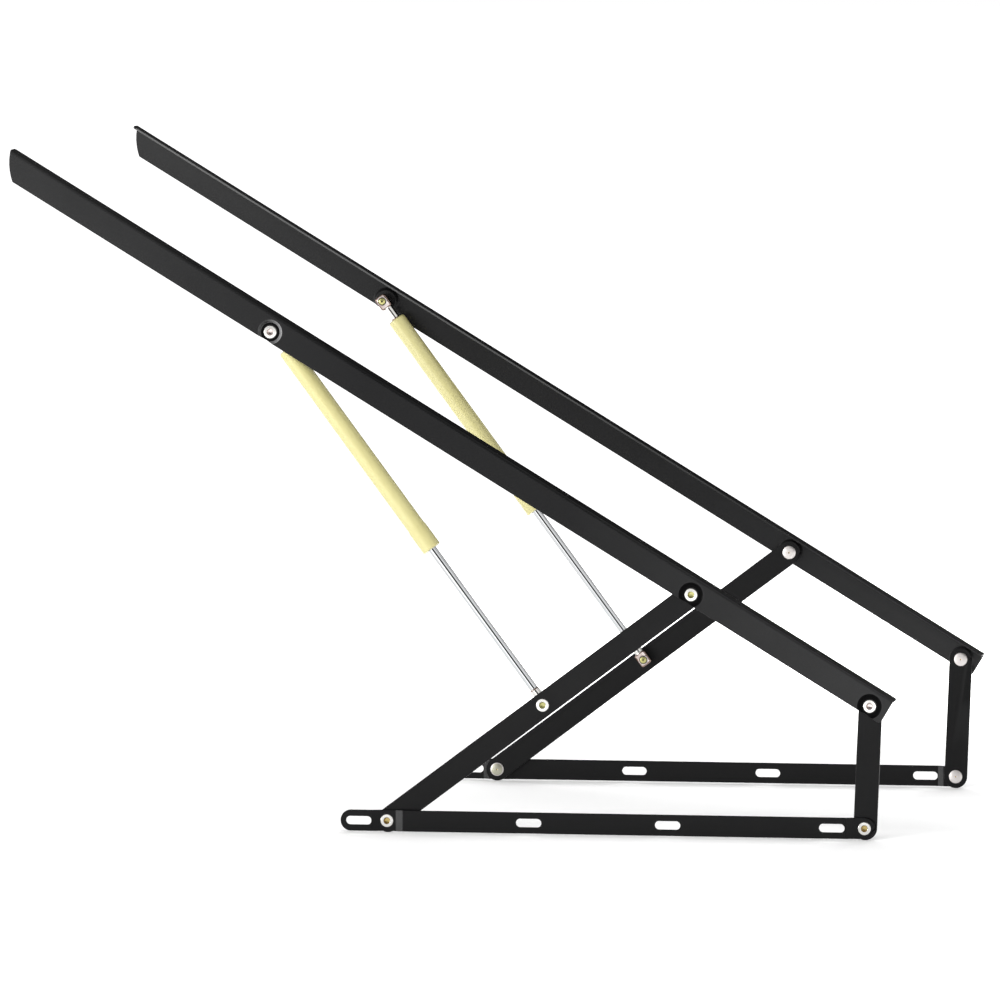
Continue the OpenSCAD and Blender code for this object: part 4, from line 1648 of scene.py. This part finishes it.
@dataclass(frozen=True)
class Studio:
    """White floor, white surround and soft lamps.

    Args:
        floor_size: Width of the floor, in metres.
        floor_tone: Its own colour.
        near_r: Distance from the pair up to which the floor keeps its shadows, in metres.
        clear_r: Distance from which it is plain white.
        near_lift: Light that the floor gives to the camera near the pair.
        far_lift: The same far from it.
        lens: Dim front round the camera, as a reflection sees it.
        panel: White panel in that front.
        rear: Dark room behind the pair.
        ceiling: Heights of direction between which the walls darken, and their two levels.
        light: Level of the surround's light on the object.
        lamps: The lamps.
    """

    floor_size: float = 60.0
    floor_tone: float = 0.82
    near_r: float = 0.9
    clear_r: float = 1.6
    near_lift: float = 0.2
    far_lift: float = 1.1
    lens: Cone = Cone((0.114, -0.990, 0.080), 30.0, 24.0, 1.0, 0.02)
    panel: Cone = Cone((-0.182, -0.981, -0.067), 8.5, 6.0, 0.0, 1.0)
    rear: Cone = Cone((-0.03, 0.968, 0.25), 60.0, 38.0, 1.0, 0.03)
    ceiling: tuple[float, float, float, float] = (0.6, 0.8, 1.0, 0.15)
    light: float = 0.25
    lamps: tuple[Lamp, ...] = (
        Lamp("key_left", (-2.6, -2.6, 0.25), (1.1, 0.9), 24.0),
        Lamp("glint_left", (-2.9, -1.7, 0.87), (1.9, 1.6), 8.0),
        Lamp("side_left", (-3.3, -0.95, 0.6), (0.7, 0.8), 22.0),
        Lamp("front_fill", (0.6, -4.4, 1.2), (2.6, 1.6), 84.0, glossy=False),
        Lamp("back_fill", (0.8, 3.4, 1.6), (2.4, 1.6), 70.0, glossy=False),
        Lamp("front_wash", (0.1, -3.0, 2.6), (2.6, 1.4), 95.0, glossy=False, on_floor=True),
        Lamp("high_wash", (0.1, 2.2, 3.2), (3.0, 2.0), 40.0, glossy=False, on_floor=True),
        Lamp("low_wash", (0.1, 3.4, 1.5), (3.4, 1.2), 120.0, glossy=False, on_floor=True),
    )

    def world(self) -> None:
        """Surround: white to the camera, and a plain soft light on the object.

        A reflection sees white walls that darken towards the ceiling, a dim front round the
        camera with one white panel, and a dark room behind the pair above floor level, which
        keeps the tops of the flanges black.
        """
        world = bpy.data.worlds.new("white_surround")
        bpy.context.scene.world = world
        world.use_nodes = True
        world.node_tree.nodes.clear()
        shader = Shader(world.node_tree)
        way = shader.add("ShaderNodeTexCoord").outputs["Generated"]
        parts = shader.add("ShaderNodeSeparateXYZ")
        shader.link(way, parts.inputs[0])
        front = shader.maths("MAXIMUM", self.lens.value(shader, way), self.panel.value(shader, way))
        room = shader.maths("MULTIPLY", front, self.rear.value(shader, way))
        shown = shader.maths("MULTIPLY", room, shader.spread(parts.outputs[2], *self.ceiling))
        path = shader.add("ShaderNodeLightPath").outputs
        lit = shader.add("ShaderNodeMix", {Mix.FLOAT_A: self.light})
        shader.link(path["Is Glossy Ray"], lit.inputs[Mix.FACTOR])
        shader.link(shown, lit.inputs[Mix.FLOAT_B])
        level = shader.add("ShaderNodeMix", {Mix.FLOAT_B: 1.0})
        direct = shader.maths("MAXIMUM", path["Is Camera Ray"], path["Is Transmission Ray"])
        shader.link(direct, level.inputs[Mix.FACTOR])
        shader.link(lit.outputs[0], level.inputs[Mix.FLOAT_A])
        surround = shader.add("ShaderNodeBackground", {"Color": WHITE})
        out = shader.add("ShaderNodeOutputWorld")
        shader.link(level.outputs[0], surround.inputs["Strength"])
        shader.link(surround.outputs[0], out.inputs["Surface"])

    def floor(self) -> bpy.types.Object:
        """Floor: matt white under its lamps, lifted to white for the camera's and glossy rays.

        The lift grows with the distance from the pair, so that only the shadows near it show.

        Returns:
            The floor.
        """
        material = bpy.data.materials.new("white_floor")
        material.use_nodes = True
        material.node_tree.nodes.clear()
        shader = Shader(material.node_tree)
        matt = shader.add("ShaderNodeBsdfDiffuse", {"Color": (self.floor_tone, self.floor_tone, self.floor_tone, 1.0)})
        away = shader.add("ShaderNodeVectorMath", operation="LENGTH")
        shader.link(shader.object_place(), away.inputs[0])
        lift = shader.spread(away.outputs["Value"], self.near_r, self.clear_r, self.near_lift, self.far_lift)
        path = shader.add("ShaderNodeLightPath").outputs
        shown = shader.maths("MAXIMUM", path["Is Camera Ray"], path["Is Glossy Ray"])
        glow = shader.add("ShaderNodeEmission", {"Color": WHITE})
        shader.link(shader.maths("MULTIPLY", shown, lift), glow.inputs["Strength"])
        total = shader.add("ShaderNodeAddShader")
        out = shader.add("ShaderNodeOutputMaterial")
        shader.link(matt.outputs[0], total.inputs[0])
        shader.link(glow.outputs[0], total.inputs[1])
        shader.link(total.outputs[0], out.inputs["Surface"])
        half = self.floor_size / 2
        mesh = bpy.data.meshes.new("studio_floor")
        mesh.from_pydata([(-half, -half, 0.0), (half, -half, 0.0), (half, half, 0.0), (-half, half, 0.0)],
                         [], [(0, 1, 2, 3)])
        mesh.materials.append(material)
        floor = link_object("studio_floor", mesh)
        return floor

    def build(self) -> None:
        """Sets the view transform, the surround, the floor and the lamps."""
        bpy.context.scene.view_settings.view_transform = "Standard"
        self.world()
        floor = self.floor()
        for lamp in self.lamps:
            lamp.build(floor)


def main() -> None:
    """Builds the camera, both units and the studio."""
    logging.basicConfig(level=logging.INFO, format="%(name)s: %(message)s")
    Camera().build()
    palette = Palette()
    for side in Side:
        Unit(side, palette).build()
    Studio().build()


if __name__ == "__main__":
    main()
